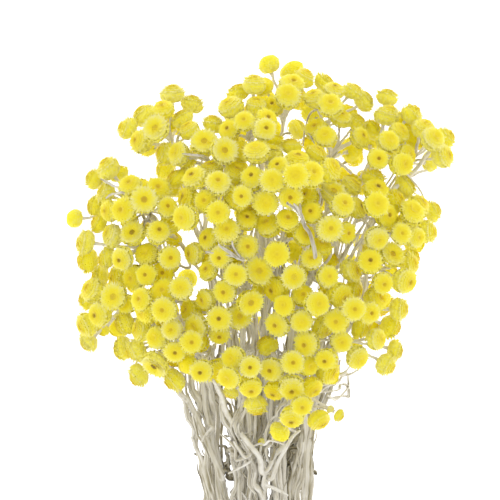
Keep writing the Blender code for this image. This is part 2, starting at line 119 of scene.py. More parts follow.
# Pixel places of the heads that the photo shows, spray by spray
SEEN_HEADS = {
    "top_left": ((130, 126), (144, 115), (165, 110), (175, 94), (190, 102), (157, 131), (144, 140)),
    "left_shoulder": (
        (190, 129), (183, 118), (214, 124), (167, 151), (181, 154), (207, 144), (223, 154), (240, 150),
    ),
    "centre_left_face": (
        (178, 178), (214, 167), (198, 181), (235, 175), (219, 188), (210, 202), (192, 214), (237, 199),
        (192, 197), (218, 212),
    ),
    "top_inner_left": (
        (240, 91), (233, 108), (254, 88), (257, 106), (262, 119), (248, 124), (233, 131), (264, 130),
    ),
    "top_middle": (
        (272, 65), (290, 68), (306, 77), (323, 81), (264, 84), (292, 84), (275, 105), (286, 98),
    ),
    "top_right_umbel": ((335, 91), (352, 91), (365, 99), (316, 99), (330, 106)),
    "right_inner": ((337, 117), (319, 129), (358, 120), (359, 137), (375, 129), (324, 137)),
    "right_shoulder": (
        (385, 98), (389, 115), (406, 122), (397, 135), (414, 134),
        (386, 143), (403, 151), (378, 158), (399, 162), (411, 116),
    ),
    "far_right_tip": ((429, 138), (446, 136), (441, 155), (422, 129)),
    "centre_top_left": (
        (264, 140), (272, 152), (261, 160), (254, 176), (274, 183), (244, 195), (266, 199),
    ),
    "centre_top_right": (
        (288, 147), (296, 162), (277, 165), (316, 155), (310, 175), (324, 172), (289, 195), (295, 178),
    ),
    "left_edge_upper": (
        (95, 178), (110, 172), (118, 172), (132, 188), (97, 206),
        (113, 209), (130, 210), (146, 201), (161, 192), (76, 216), (108, 189), (167, 205),
    ),
    "left_edge_middle": (
        (101, 223), (88, 244), (91, 258), (113, 235), (134, 234), (127, 254), (160, 232), (171, 224),
        (171, 256), (108, 251),
    ),
    "left_inner": ((147, 256), (139, 273), (150, 272), (164, 270), (120, 276), (99, 272)),
    "left_edge_lower": ((95, 290), (116, 295), (102, 311), (87, 298), (88, 324), (88, 338)),
    "left_lower_inner": ((164, 295), (177, 291), (169, 302), (150, 297), (147, 312), (127, 322)),
    "lower_left": (
        (144, 329), (161, 336), (137, 347), (157, 359), (139, 371), (125, 347), (177, 347), (191, 339),
        (172, 326),
    ),
    "low_left_front": ((175, 378), (189, 361), (205, 367), (217, 367)),
    "lower_front": ((233, 370), (251, 381), (249, 364), (235, 357), (256, 402)),
    "lower_middle": (
        (275, 367), (276, 386), (292, 384), (301, 394), (311, 381), (292, 359), (307, 361), (325, 370),
    ),
    "lowest": ((293, 411), (280, 428), (318, 416), (338, 414), (299, 399)),
    "centre_left": ((245, 218), (230, 232), (212, 239), (198, 252), (245, 245), (250, 216), (222, 252)),
    "centre_low_left": ((210, 267), (235, 274), (260, 270), (227, 288), (209, 297), (249, 299)),
    "middle_low_left": ((193, 311), (200, 324), (217, 329), (221, 315), (238, 314)),
    "right_centre": (
        (331, 183), (348, 186), (330, 192), (310, 199), (338, 206), (358, 206), (313, 213), (327, 224),
        (344, 231),
    ),
    "centre": ((268, 224), (286, 221), (302, 233), (276, 253)),
    "centre_low": (
        (296, 273), (278, 286), (310, 260), (325, 274), (349, 269), (337, 293), (353, 287), (319, 248),
    ),
    "right_middle_inner": (
        (373, 174), (375, 195), (373, 203), (392, 200), (404, 188), (387, 215), (375, 235),
    ),
    "right_middle_outer": ((413, 202), (407, 214), (399, 232), (413, 234), (425, 230), (432, 210)),
    "right_edge_lower": ((389, 254), (370, 260), (410, 258), (381, 280), (401, 277), (407, 263)),
    "right_low": ((373, 298), (367, 309), (397, 309), (390, 325), (349, 308), (337, 315)),
    "middle_low": ((285, 304), (313, 301), (299, 317), (280, 321), (323, 324), (362, 325), (301, 294)),
    "right_lowest": ((308, 343), (339, 340), (373, 336), (356, 354), (394, 349), (386, 361), (326, 353)),
}

# Heads that have opened flat, by the same pixel places
OPEN_HEADS = {
    (157, 131), (207, 144), (223, 154), (264, 140), (272, 152), (146, 201), (134, 234), (116, 295),
    (157, 359), (260, 270), (249, 299), (296, 273), (278, 286), (389, 254), (330, 192), (238, 314),
}

# Sprays that lie nearer the viewer or deeper than the cushion has them
LIFT = {
    "centre_top_left": 7.0,
    "centre_top_right": 7.0,
    "centre_left_face": 4.0,
    "far_right_tip": 8.0,
    "lower_front": 6.0,
    "lowest": 10.0,
    "top_middle": -6.0,
    "right_inner": -8.0,
    "left_inner": -6.0,
    "middle_low_left": -6.0,
}

# Sprays on the side that the bunch lies on, by the middle of their heads. The first few rest on the surface.
BACK_SPRAYS = {
    "under_left": (-40.0, 52.0),
    "under_right": (41.0, 57.0),
    "under_top_left": (-26.0, 98.0),
    "under_top_right": (28.0, 100.0),
    "under_top": (0.0, 116.0),
    "under_middle": (0.0, 72.0),
    "under_low": (2.0, 30.0),
}
RESTING = ("under_left", "under_right", "under_top_left", "under_top_right", "under_low")
BACK_Z = 12.0

# The camera: the photo's middle in pixels, the place in mm that it looks down on, the height where a pixel
# has its size, and how far over that height the camera is
PHOTO_MIDDLE = 250
CAMERA_MIDDLE = np.array([-4.0, 64.9])
CAMERA_LEVEL = 50.0
CAMERA_LENS = 220.0
CAMERA_SENSOR = 36.0
CAMERA_FAR = 10.0
CAMERA_DISTANCE = 2 * PHOTO_MIDDLE * MM_PER_PIXEL * CAMERA_LENS / CAMERA_SENSOR

# Heads by look, by the same pixel places
FORMS = {
    "bud": ((272, 65), (290, 68), (189, 361), (280, 428), (264, 84), (76, 216)),
    "deep": (
        (233, 370), (251, 381), (276, 386), (268, 224), (286, 221), (302, 233), (313, 213), (278, 286),
        (276, 253), (301, 394), (311, 381), (293, 411), (318, 416), (285, 304), (313, 301), (375, 195),
        (178, 178), (190, 129), (240, 150), (373, 203), (387, 215), (164, 270), (150, 272),
    ),
    "small": ((338, 414),),
}
# Buds that dried while small: their pixels, and their radius and height over the bunch's front in mm
DRY_BUDS = (((262, 442), 1.5, 1.0), ((330, 409), 1.5, -2.0))

# A head's skin in head radii: how high its widest place is, its height over that, its depth under it, and
# how fast it narrows below
SKIN = {"closed": (0.06, 0.80, 0.88, 1.05), "open": (0.08, 0.56, 0.82, 1.05), "bud": (0.05, 1.0, 0.86, 1.0)}
LOWEST_SKIN = math.radians(160)
# Rings of bracts up a head's sides: how far from the face their tips are in degrees, and how many there are
LOW_RINGS = ((134, 16), (122, 20), (110, 25), (99, 29), (89, 31), (80, 31))
SIDE_RINGS = {
    "plain": ((128, 14), (112, 19), (97, 23), (84, 23)),
    "bud": (
        (132, 14), (117, 18), (103, 22), (90, 24), (78, 24), (66, 22), (55, 20), (44, 17), (33, 14), (23, 10),
    ),
}
# How far those tips stand out of the skin, in head radii, at some angles from the face
FLARE = (0.01, 0.05, 0.045, 0.03)
FLARE_ANGLES = (30.0, 84.0, 112.0, 135.0)
# Rings of bracts on a head's face, from the rim to the pit: distances from the axis and heights of a
# bract's root, shoulders and tip, how many there are, and their paleness
FACES = {
    "closed": (
        ((0.50, 0.42), (0.88, 0.40), (1.08, 0.31), 34, 0.78),
        ((0.42, 0.56), (0.79, 0.57), (0.98, 0.50), 32, 0.68),
        ((0.34, 0.66), (0.65, 0.71), (0.83, 0.67), 28, 0.56),
        ((0.27, 0.72), (0.50, 0.81), (0.67, 0.80), 24, 0.43),
        ((0.23, 0.75), (0.38, 0.86), (0.52, 0.88), 19, 0.30),
        ((0.17, 0.73), (0.27, 0.85), (0.38, 0.92), 14, 0.18),
    ),
    "open": (
        ((0.25, 0.26), (0.86, 0.44), (1.07, 0.50), 34, 0.80),
        ((0.25, 0.30), (0.72, 0.49), (0.90, 0.57), 30, 0.68),
        ((0.25, 0.33), (0.57, 0.49), (0.72, 0.59), 25, 0.52),
        ((0.24, 0.35), (0.43, 0.46), (0.54, 0.56), 19, 0.34),
        ((0.22, 0.36), (0.31, 0.42), (0.38, 0.50), 14, 0.20),
    ),
    "bud": (),
}
PLAIN_SHARE = 0.60
# How much each ring inwards turns towards the pit's colour, on a head that nothing covers: partly the face's
# own colour, partly painted shade that holds down the brightness of a head in full light
FACE_WARMTH_AND_SHADE = 0.026
# A bract's root, shoulders and tip: degrees from the tip, depth in the skin, share of the bend outwards,
# and how much of that goes up
BRACT_REACH = np.radians([26.0, 9.0, 0.0])
TUCK = np.array([0.93, 1.0, 1.0])
SPREAD = np.array([0.0, 0.3, 1.0])
SPREAD_UP = 0.4
# How much bracts overlap, how their turns, leans and lengths vary, and how high their keels are
BRACT_OVERLAP = 1.3
TURN_VARIES = 0.35
LEAN_VARIES = 1.1
LONG_VARIES = 0.3
SHOULDER_ROUGH = 0.3
SIDE_KEEL = 0.02
FACE_KEEL = 0.012
# How rough a ring's outline is, and how much more on a fluffy head
SIDE_ROUGH = (0.01, 0.03)
FACE_ROUGH = (0.015, 0.02)
# The bodies that the bracts stand out of, as distances from the axis and heights up from the base
CORE_SIDES = 12
CORES = {
    "closed": (
        (0.14, -0.74), (0.42, -0.56), (0.72, -0.24), (0.90, 0.06), (0.88, 0.28), (0.76, 0.48), (0.57, 0.66),
        (0.40, 0.76), (0.27, 0.80), (0.19, 0.74), (0.09, 0.66), (0.0, 0.65),
    ),
    "open": (
        (0.14, -0.72), (0.42, -0.52), (0.72, -0.20), (0.93, 0.08), (0.88, 0.32), (0.60, 0.40), (0.30, 0.32),
        (0.22, 0.35), (0.11, 0.38), (0.0, 0.39),
    ),
    "bud": (
        (0.14, -0.76), (0.46, -0.58), (0.78, -0.26), (0.97, 0.06), (0.93, 0.40), (0.77, 0.66), (0.52, 0.88),
        (0.28, 0.98), (0.12, 0.96), (0.0, 0.92),
    ),
}
PIT_REACH = {"closed": 0.34, "open": 0.46, "bud": 0.20}
PIT_DARKEST = 1.2
# Paleness from 0 to 1: of the body and of a side bract's five points at one of the angles below and how
# much more at the other, more for a fluffy head and underneath, where it is partly the underside's straw and
# partly painted light against its shade, of a face bract's, and how much it varies
FACE_EDGES = (15, 90)
CORE_PALE = (0.25, 0.5)
SIDE_PALE = np.array([0.20, 0.20, 0.20, 0.20, 0.23])
SIDE_MORE_PALE = np.array([0.34, 0.34, 0.34, 0.34, 0.46])
FLUFFY_PALE = 0.06
UNDER_ANGLE = 100
UNDER_PALE = 0.08
RIM_PALE = np.array([-0.12, 0, 0, 0, 0.22])
FACE_PALE = np.array([-0.12, 0, 0, 0, 0.08])
PALE_VARIES = 0.05
# Tones by form: deep heads and the plain back and tucked-in heads are painted darker and more golden, as
# painted shade; dried buds are paler
HEAD_TONE_AND_SHADE = {"deep": -0.16, "bud": 0.0, "plain": -0.04, "open": 0.02, "dry": 0.3}
HEAD_TONE_VARIES = 0.06
# How brown a pit or disc is, and the share of heads that are ripe
RIPE = (0.6, 1.05)
UNRIPE = (0.2, 0.55)
RIPE_SHARE = 0.35
# Loose tips that stand off a head's sides: how many, their angles from the face, shape and paleness
FRINGE = {"deep": 24, "bud": 14, "plain": 22, "small": 20, "dry": 8}
FRINGE_MOST = 74
FRINGE_ANGLES = (42.0, 122.0)
FRINGE_LONG = (0.12, 0.33)
FRINGE_THICK = 0.078
FRINGE_ROOT = 0.94
FRINGE_BENDS = 0.25
FRINGE_RISE = 0.7
FRINGE_PALE = 0.55
FRINGE_PALE_VARIES = 0.06
FRINGE_TIP_PALE = np.array([0, 0, 0, 0.3])
# Florets of an open head's disc
FLORETS = 42
DISC_REACH = 0.27
DISC_HEIGHT = 0.38
DISC_FALL = 0.7
FLORET_THICK = 0.028
FLORET_LONG = 0.07
FLORET_PALE = 0.2
FLORET_BROWN = np.array([0.08, 0.08, 0.08, -0.15])
FLORET_BROWN_VARIES = (-0.15, 0.3)
# How far off heads in front still cover a head, how much each counts, what part of that doesn't show, and
# how much more golden a covered head is painted, as painted shade
COVER_REACH = 9.5
COVER_SHARE = 0.8
COVER_LEAST = 0.3
COVER_SHADE = 0.3
# How much smaller than its solid a head is, where the photo shows one that stayed small
HEAD_LARGER = 0.98
HEAD_SHARE = {"bud": 0.88, "small": 0.66}
# How a head leaves the round: waves of its outline, its face's slide off its base, its height and fluff
HEAD_ASIDE = [0.4, 0.5, 0.77]
OUTLINE_WAVES = np.arange(2, 8)
WAVE_SIZE = 0.009
SLANT = 0.10
TALL = (0.88, 1.1)
FLUFFY = (0.6, 1.2)
FLUFFY_FORMS = {"deep": 0.4, "bud": 0.3}

# Heads tucked in between the seen ones: their distance from the fork in mm, size, lean, how near others
# they may be, where they root, and the most that a spray gets
FILL_REACH = (9.0, 17.0)
FILL_SIZE = (0.72, 0.95)
FILL_SPREAD = 1.3
FILL_OVERLAP = 0.9
FILL_ROOT = (0.0, 0.5)
FILL_FACE_FROM_ROOT = 0.6
FILL_OVER_FLOOR = 1
FILL_MOST = 2
FILL_TRIES = 160
UNFILLED = ("far_right_tip", "right_shoulder", "top_right_umbel", "right_centre", "lower_middle")

BRACT_FACES = np.array([(0, 3, 2), (3, 4, 2), (4, 1, 2), (1, 0, 2), (0, 1, 3), (1, 4, 3)])
CONE_FACES = np.array([(0, 2, 1), (0, 1, 3), (1, 2, 3), (2, 0, 3)])

# Twigs, curls and shrivelled leaves that the photo shows apart from the stems, each as pixels along it,
# its width in mm, how far it lies under the bunch's front in mm, and its tone
TWIGS = (
    (((287, 203), (297, 210), (302, 217), (305, 226), (310, 234), (315, 255)), 1.7, -4.0, 0.26),
    (((294, 204), (297, 208), (300, 214)), 1.2, -4.0, 0.28),
    (((206, 252), (221, 254), (233, 256), (243, 260)), 1.1, -4.0, 0.32),
    (((219, 245), (228, 251), (239, 258)), 1.0, -4.0, 0.32),
    (((232, 241), (233, 247), (240, 257)), 1.0, -4.0, 0.30),
    (((177, 265), (185, 268), (190, 267), (188, 261), (195, 265), (203, 275)), 1.2, 9.0, 0.35),
    (((170, 235), (181, 244), (188, 254), (195, 265)), 1.6, 9.0, 0.40),
    (((101, 179), (107, 182), (114, 186), (123, 190)), 1.1, -3.0, 0.36),
    (((106, 198), (111, 195), (117, 194), (124, 193)), 1.0, -3.0, 0.36),
    (((182, 154), (193, 155), (202, 156)), 1.1, -4.0, 0.38),
    (((315, 386), (326, 384), (338, 375), (345, 372), (349, 367)), 1.3, 6.0, 0.48),
    (((327, 395), (336, 399), (345, 392), (349, 386), (348, 374), (341, 375)), 1.2, 6.0, 0.45),
    (((316, 394), (327, 386), (338, 382), (342, 376), (350, 374), (358, 370)), 1.3, 6.0, 0.48),
    (((320, 392), (338, 390), (340, 385), (347, 386), (349, 396), (343, 396)), 1.2, 7.0, 0.45),
    (((284, 445), (276, 442), (269, 441), (264, 445), (260, 444)), 0.9, -1.5, 0.65),
    (((202, 441), (208, 434), (213, 428)), 1.7, -1.0, 0.48),
    (((189, 392), (195, 394), (201, 392)), 1.0, 9.0, 0.25),
    (((213, 380), (221, 396), (226, 412), (237, 429), (248, 443), (260, 458), (262, 473)), 1.9, -0.8, 0.48),
    (((176, 392), (186, 399), (194, 412), (202, 429), (210, 449), (222, 478)), 1.9, -0.8, 0.44),
    (((300, 430), (292, 437), (285, 449), (278, 462), (273, 478)), 2.0, -1.2, 0.52),
    (((220, 435), (228, 441), (235, 449), (236, 460), (244, 458), (250, 455)), 1.2, 0.5, 0.40),
    (((234, 441), (239, 450), (245, 458)), 1.3, 0.5, 0.45),
    (((228, 473), (239, 468), (250, 462)), 1.1, -0.5, 0.45),
    (((261, 458), (264, 472), (270, 467), (274, 456), (283, 446)), 1.5, -0.5, 0.62),
    (((264, 484), (276, 489), (288, 496)), 1.4, -2.0, 0.50),
    (((389, 192), (402, 182), (414, 172), (425, 158), (436, 143)), 2.0, 3.0, 0.62),
    (((410, 176), (420, 172), (430, 170)), 1.0, 3.0, 0.55),
    (((320, 109), (313, 111), (308, 118), (305, 130), (304, 146)), 0.8, 3.0, 0.22),
    (((307, 128), (311, 136), (315, 145)), 0.8, 3.0, 0.20),
    (((405, 171), (412, 180), (420, 191), (426, 202)), 0.8, 2.0, 0.42),
    (((338, 262), (346, 250), (356, 236), (368, 218)), 1.3, 6.0, 0.42),
    (((343, 266), (351, 255), (361, 242), (374, 222)), 1.2, 6.0, 0.38),
    (((347, 262), (356, 247), (366, 234), (379, 217)), 1.2, 7.0, 0.45),
    (((334, 262), (336, 250), (334, 240), (337, 228)), 2.4, 6.0, 0.48),
    (((330, 258), (331, 246), (335, 236)), 1.5, 6.0, 0.40),
    (((267, 190), (269, 200), (270, 214)), 2.4, 4.0, 0.45),
    (((143, 217), (147, 220), (151, 218)), 1.3, -3.0, 0.10),
    (((144, 224), (147, 220), (149, 215)), 1.2, -3.0, 0.05),
    (((151, 223), (148, 220), (145, 220)), 1.1, -3.2, 0.15),
    (((272, 186), (272, 200), (268, 216)), 1.4, 4.0, 0.50),
)
# Short withered scraps in the bunch's low middle, dark partly from withering and partly as painted shade in
# its gaps: the corners of their boxes in pixels, the steps along one, its width and how far under the bunch's
# front it lies in mm, and its tone
SCRAPS = 48
SCRAP_BOXES = (((216, 436), (246, 486)), ((218, 446), (242, 484)), ((286, 436), (298, 474)))
SCRAP_STEPS = 4
SCRAP_STEP = 3.2
SCRAP_DRIFT = 2.5
SCRAP_WIDE = (0.9, 2.6)
SCRAP_UNDER = (5.0, 15.0)
SCRAP_TONE_AND_SHADE = (0.0, 0.24)
# How near in mm stems and heads count for the bunch's front, and a twig's least height
FRONT_REACH = 6.0
FRONT_MARGIN = 1.0
TWIG_LOWEST = 2.0

# Tubes by kind: how many sides, how flat, and how many ridges
STEM_TUBE = (12, 0.34, 4)
STRAND_TUBE = (6, 0.35, 2)
PEDICEL_TUBE = (6, 0.12, 3)
TWIG_TUBE = (7, 0.3, 2)
TUBE_ASIDE = [0.3, 0.1, 0.95]
RIDGE_HIGH = 0.12
TUBE_ROUGH = 0.05
TUBE_TWIST = 0.06
TUBE_DRIFT = 0.03
# Tones as a middle and how much they vary
STEM_TONE = (0.52, 0.08)
STRAND_TONE = (0.48, 0.12)
PEDICEL_TONE = (0.5, 0.07)
LEAF_TONE = (0.5, 0.12)
WITHERED_TONE = (0.05, 0.3)

# A stem's stations, its crooks in mm, how thick it is, and its swollen nodes
STEM_STATIONS = 110
CROOK = 0.62
CROOK_KNOTS = 38
CROOK_FADE = 12
STEM_THICK = (0.62, 1.02)
STEM_UNEVEN = 0.16
UNEVEN_KNOTS = 22
NODES = 8
NODE_PLACES = (0.05, 0.9)
NODE_SWELL = 0.3
NODE_LONG = 0.01
# Strands that cling to a stem: their length as a share of it, and how far off and how thick they are in mm
STRANDS = 2
STRAND_LONG = 0.35
STRAND_END = 0.97
STRAND_STATIONS = 70
STRAND_OFF = 1.1
STRAND_AWAY = (0.2, 2.6)
STRAND_THICK = (0.32, 0.62)
STRAND_LEAST = 8
STRAND_TWIST = 0.2
STRAND_SWAY = (0.35, 8)
STRAND_UNEVEN = (0.2, 9)
# Leaves on a stem: the stations where they start and that they span, how far off they stand, and their width
LEAVES = 11
LEAF_START = (4, 0.82 * STEM_STATIONS)
LEAF_SPAN = (5, 13)
LEAF_NEAR = 0.7
LEAF_AWAY = (0.3, 3.6)
LEAF_BOW = 1.4
LEAF_POINTS = 14
LEAF_WIDE = (0.9, 2.2)
FIRST_LEAF_WIDE = 1.7
FIRST_LEAF_POINTS = 16
FIRST_LEAF_CROOK = (0.25, 5)
LEAF_CROOK = (0.45, 6)
LEAF_TURN = 6
LEAF_TWIST = (0.12, 0.02)
LEAF_CURL = (0.1, 0.5)
LEAF_FOLD = 0.1
LEAF_TIP = 0.8
LEAF_OUTLINE = ([0, 0.15, 0.6, 1], [0.5, 1, 0.85, 0.3])
LEAF_PALE = 0.55
LEAF_EDGES = [0.2, -0.35, 0.2]
WITHERED_SHARE = 0.45
WOOL_HAIRS = 140
WOOL_WIDE = 0.05
WOOL_LONG = (0.4, 1.2)
WOOL_SHADES = (0.9, 0.6)
WOOL_ROOT = 0.85
WOOL_LEAN = (0.3, 0.5)
WOOL_TURN = 0.4
# Pedicels: how far they bend, start under the stem's surface and reach into a head, and their outline
PEDICEL_POINTS = 12
PEDICEL_BEND = 0.35
PEDICEL_ROOT = 1.2
PEDICEL_REACH = 0.4
PEDICEL_CROOK = 0.12
PEDICEL_OUTLINE = ([0, 0.85, 1], [1.35, 1.15, 2.0])
TWIG_DENSE = 7
TWIG_CROOK = 0.12
TWIG_OUTLINE = ([0, 0.8, 1], [1.0, 0.9, 0.5])
# Painted shade: what lies deep in the bunch is painted darker, round which height in mm, over how much, and
# by how much
DEPTH_MIDDLE = 26.0
DEPTH_HALF = 16.0
DEPTH_SHADE = 0.2

# Colours along a shade from 0 to 1, as screen values
BRACT_COLOURS = (
    (0.0, 255, 230, 0), (0.25, 255, 235, 4), (0.5, 252, 239, 30), (0.75, 247, 238, 86), (1.0, 244, 238, 150),
)
PIT_COLOURS = ((0.0, 246, 226, 40), (0.5, 198, 158, 10), (1.0, 108, 88, 6))
PIT_MASK = ((0.0, 0, 0, 0), (0.3, 255, 255, 255))
STEM_COLOURS = ((0.0, 58, 51, 30), (0.3, 144, 133, 101), (0.6, 205, 197, 174), (1.0, 232, 227, 214))
WHITE = (1, 1, 1, 1)
# From a screen value to light
SCREEN_KNEE = 0.04045
SCREEN_LINEAR = 12.92
SCREEN_OFFSET = 0.055
SCREEN_POWER = 2.4
# Noises as scale, stretch and detail, how much they count, and bumps as strength and distance in metres
MOTTLE = (1700.0, (1, 1, 1), 3.0)
MOTTLE_MIX = 0.5
CREASES = (2600.0, (1, 1, 1), 2.0)
BRACT_BUMPS = (0.3, 0.0001)
STREAKS = (700.0, (1, 0.12, 1), 4.0)
PATCHES = (120.0, (1, 0.4, 1), 3.0)
# How much the painted shade of the stems' grooves and painted light of their bumps count
RIDGE_SHADE_MIX = 0.45
PATCH_MIX = 0.4
STEM_DARKER = 0.87
STEM_BUMPS = (0.5, 0.00015)
FLOOR_HALF = 3.0
WORLD_LIGHT = 0.955
LAMP_LIGHT = 0.1
LAMP_WIDE = 50
LAMP_PLACE = (-0.1, 0.15, 0.95)
LAMP_TURN = (-12, -8, 0)
GAMMA = 1.4


def unit(v):
    return v / np.linalg.norm(v, axis=-1, keepdims=True)


def photo_place(pixel):
    """The place across and along the bunch that a pixel of the photo shows."""
    across = (pixel[0] - AXIS_PIXEL) * MM_PER_PIXEL
    along = CROWN_Y - (pixel[1] - CROWN_PIXEL) * MM_PER_PIXEL
    return across, along


def cushion(x, y):
    """Height and outward direction of the cushion of heads, over a place on the plan."""
    share = ((x - CROWN_MIDDLE[0]) / CROWN_HALF[0]) ** 2 + ((y - CROWN_MIDDLE[1]) / CROWN_HALF[1]) ** 2
    rise = math.sqrt(max(LEAST_HEIGHT, 1 - share))
    point = np.array([x, y, CROWN_MIDDLE[2] + CROWN_HALF[2] * rise])
    return point, unit((point - CROWN_MIDDLE) / CROWN_HALF + UPWARD)


def cone_places(fork, facing, count, reach, spread):
    """Heads set round an axis at equal turns, as on a corymb."""
    side = unit(np.cross(facing, CONE_ASIDE))
    other = np.cross(facing, side)
    places = []
    for k in range(count):
        lean = spread * math.sqrt((k + 0.5) / count)
        turn = k * GOLDEN
        way = math.cos(lean) * facing + math.sin(lean) * (math.cos(turn) * side + math.sin(turn) * other)
        places.append(fork + reach * way)
    return places


def plain_head(place, rng):
    return place, HEAD_RADIUS * (1 + rng.uniform(-1, 1) * HEAD_VARIES), False


def seen_spray(name, pixels, rng):
    """A spray that the photo shows: where it forks, and its heads as (place, radius, open)."""
    plan = np.array([photo_place(pixel) for pixel in pixels])
    middle, facing = cushion(*plan.mean(axis=0))
    middle[2] += LIFT.get(name, 0.0)
    fork = middle - REACH * facing
    heads = []
    for pixel, (x, y) in zip(pixels, plan):
        off = math.hypot(x - fork[0], y - fork[1])
        rise = math.sqrt(max(LEAST_RISE**2, (REACH + 1) ** 2 - off**2))
        z = fork[2] + rise + REACH_VARIES * rng.uniform(-1, 1)
        opened = pixel in OPEN_HEADS
        radius = HEAD_RADIUS * (OPEN_HEAD_LARGER if opened else 1) * (1 + rng.uniform(-1, 1) * HEAD_VARIES)
        heads.append((np.array([x, y, z]), radius, opened))
    if facing[2] < INSIDE_FACING and facing[1] > LOWER_EDGE_FACING:
        away = unit(unit(facing * [1, 1, 0]) - [0, 0, FAR_SLOPE])
        count = FAR_HEADS if facing[2] < RIM_FACING else FAR_HEADS_INSIDE
        heads += [plain_head(place, rng) for place in cone_places(fork, away, count, FAR_REACH, FAR_SPREAD)]
    return fork, heads


def back_spray(place, rng):
    """A spray on the side that the bunch lies on: where it forks, and its heads."""
    outward = (np.array(place) - CROWN_MIDDLE[:2]) / CROWN_HALF[:2]
    facing = unit(np.array([outward[0], outward[1], -BACK_SLOPE]))
    fork = np.array([*place, BACK_Z]) - BACK_REACH * facing
    places = cone_places(fork, facing, BACK_HEADS, BACK_REACH + 1, BACK_SPREAD)
    return fork, [plain_head(head, rng) for head in places]


def curve(a, b, c, d, count):
    """A smooth line between two ends, drawn towards two places between them."""
    t = np.linspace(0, 1, count)[:, None]
    return (1 - t) ** 3 * a + 3 * t * (1 - t) ** 2 * b + 3 * t**2 * (1 - t) * c + t**3 * d


def stem_line(fork, rng):
    """A crooked line from the cut end, through the bunch's throat, to the fork."""
    off = fork - CROWN_MIDDLE
    throat = THROAT + off * THROAT_SHRINK + THROAT_STAGGER * rng.uniform(-1, 1, 3)
    cut = np.array([0.0, CUT_Y, CUT_MIDDLE_Z]) + off * CUT_SHRINK
    cut += CUT_STAGGER * [rng.uniform(-1, 1), rng.uniform(0, 2), rng.uniform(-1, 1)]
    line = curve(cut, throat, throat + (fork - throat) * BOW, fork, STEM_JOINTS)
    crook = rng.normal(0, STEM_CROOKED, line.shape) * STEM_CROOKED_AXES
    crook[0] = crook[-1] = 0
    return line + crook


def stem_radii(count):
    return np.linspace(STEM_RADIUS_CUT, STEM_RADIUS_FORK, count)


class Bunch:
    """Every joint of the bunch as a point, and every stem, branch and head as a bar between two points."""

    def __init__(self):
        self.points, self.pull, self.bars, self.roots, self.hung, self.sprays = [], [], [], [], [], []

    def column(self, key):
        """One value of every head."""
        return np.array([head[key] for spray in self.sprays for head in spray["heads"]])

    def point(self, place, pull):
        self.points.append(place)
        self.pull.append(pull)
        return len(self.points) - 1

    def add(self, name, fork, heads, rests, rng):
        number = len(self.sprays)
        axis = unit(np.mean([head[0] for head in heads], axis=0) - fork)
        stem = [self.point(p, 0.0) for p in stem_line(fork, rng)[:-1]]
        stem += [self.point(fork, FORK_PULL), self.point(fork + CROWN_STRETCH * axis, FORK_PULL)]
        for k, radius in enumerate(stem_radii(len(stem))[:-1]):
            self.bars.append((stem[k], stem[k + 1], radius, number))
        outermost_first = np.argsort([-np.linalg.norm(np.cross(head[0] - fork, axis)) for head in heads])
        spray = {"name": name, "stem": stem, "heads": [], "leaf": self.add_leaf(stem, number, rng)}
        for rank, k in enumerate(outermost_first):
            place, radius, opened = heads[k]
            share = FIRST_ROOT + ROOT_SPAN * rank / (len(heads) - 1)
            root = self.point(fork + share * CROWN_STRETCH * axis, 0.0)
            centre = self.point(place, HEAD_PULL)
            self.bars.append((root, centre, PEDICEL_RADIUS, number))
            self.bars.append((centre, centre, radius * HEAD_ROOM, number))
            self.roots.append((root, stem[-2], stem[-1], share))
            head = {"root": root, "centre": centre, "radius": radius, "open": opened, "flat": False}
            spray["heads"].append(head)
        if rests:
            min(spray["heads"], key=lambda head: self.points[head["centre"]][2])["flat"] = True
        self.sprays.append(spray)

    def add_leaf(self, stem, number, rng):
        """A leaf that clings to the stem's lower half, as a root, a middle and a tip."""
        k = 1 + int(rng.integers(0, 3))
        start, way = self.points[stem[k]], self.points[stem[k + 1]] - self.points[stem[k]]
        along = unit(way)
        out = unit(np.cross(way, rng.normal(size=3)))
        root = self.point(start + LEAF_ROOT * way, 0.0)
        middle = self.point(self.points[root] + LEAF_LONG / 2 * along + LEAF_OFF[0] * out, 0.0)
        tip = self.point(self.points[root] + LEAF_LONG * along + LEAF_OFF[1] * out, 0.0)
        self.roots.append((root, stem[k], stem[k + 1], LEAF_ROOT))
        self.bars += [(root, middle, LEAF_THICK, number), (middle, tip, LEAF_THICK, number)]
        self.hung += [(middle, root), (tip, root)]
        return root, middle, tip


def nearest(p1, q1, p2, q2):
    """How far along each of two bars they come nearest each other."""
    d1, d2, r = q1 - p1, q2 - p2, p1 - p2
    a = (d1 * d1).sum(1) + TINIEST
    e = (d2 * d2).sum(1) + TINIEST
    b, c, f = (d1 * d2).sum(1), (d1 * r).sum(1), (d2 * r).sum(1)
    both = a * e - b * b
    s = np.clip(np.where(both > TINY, (b * f - c * e) / np.maximum(both, TINY), 0), 0, 1)
    t = np.clip((b * s + f) / e, 0, 1)
    s = np.clip((b * t - c) / a, 0, 1)
    return s[:, None], t[:, None]


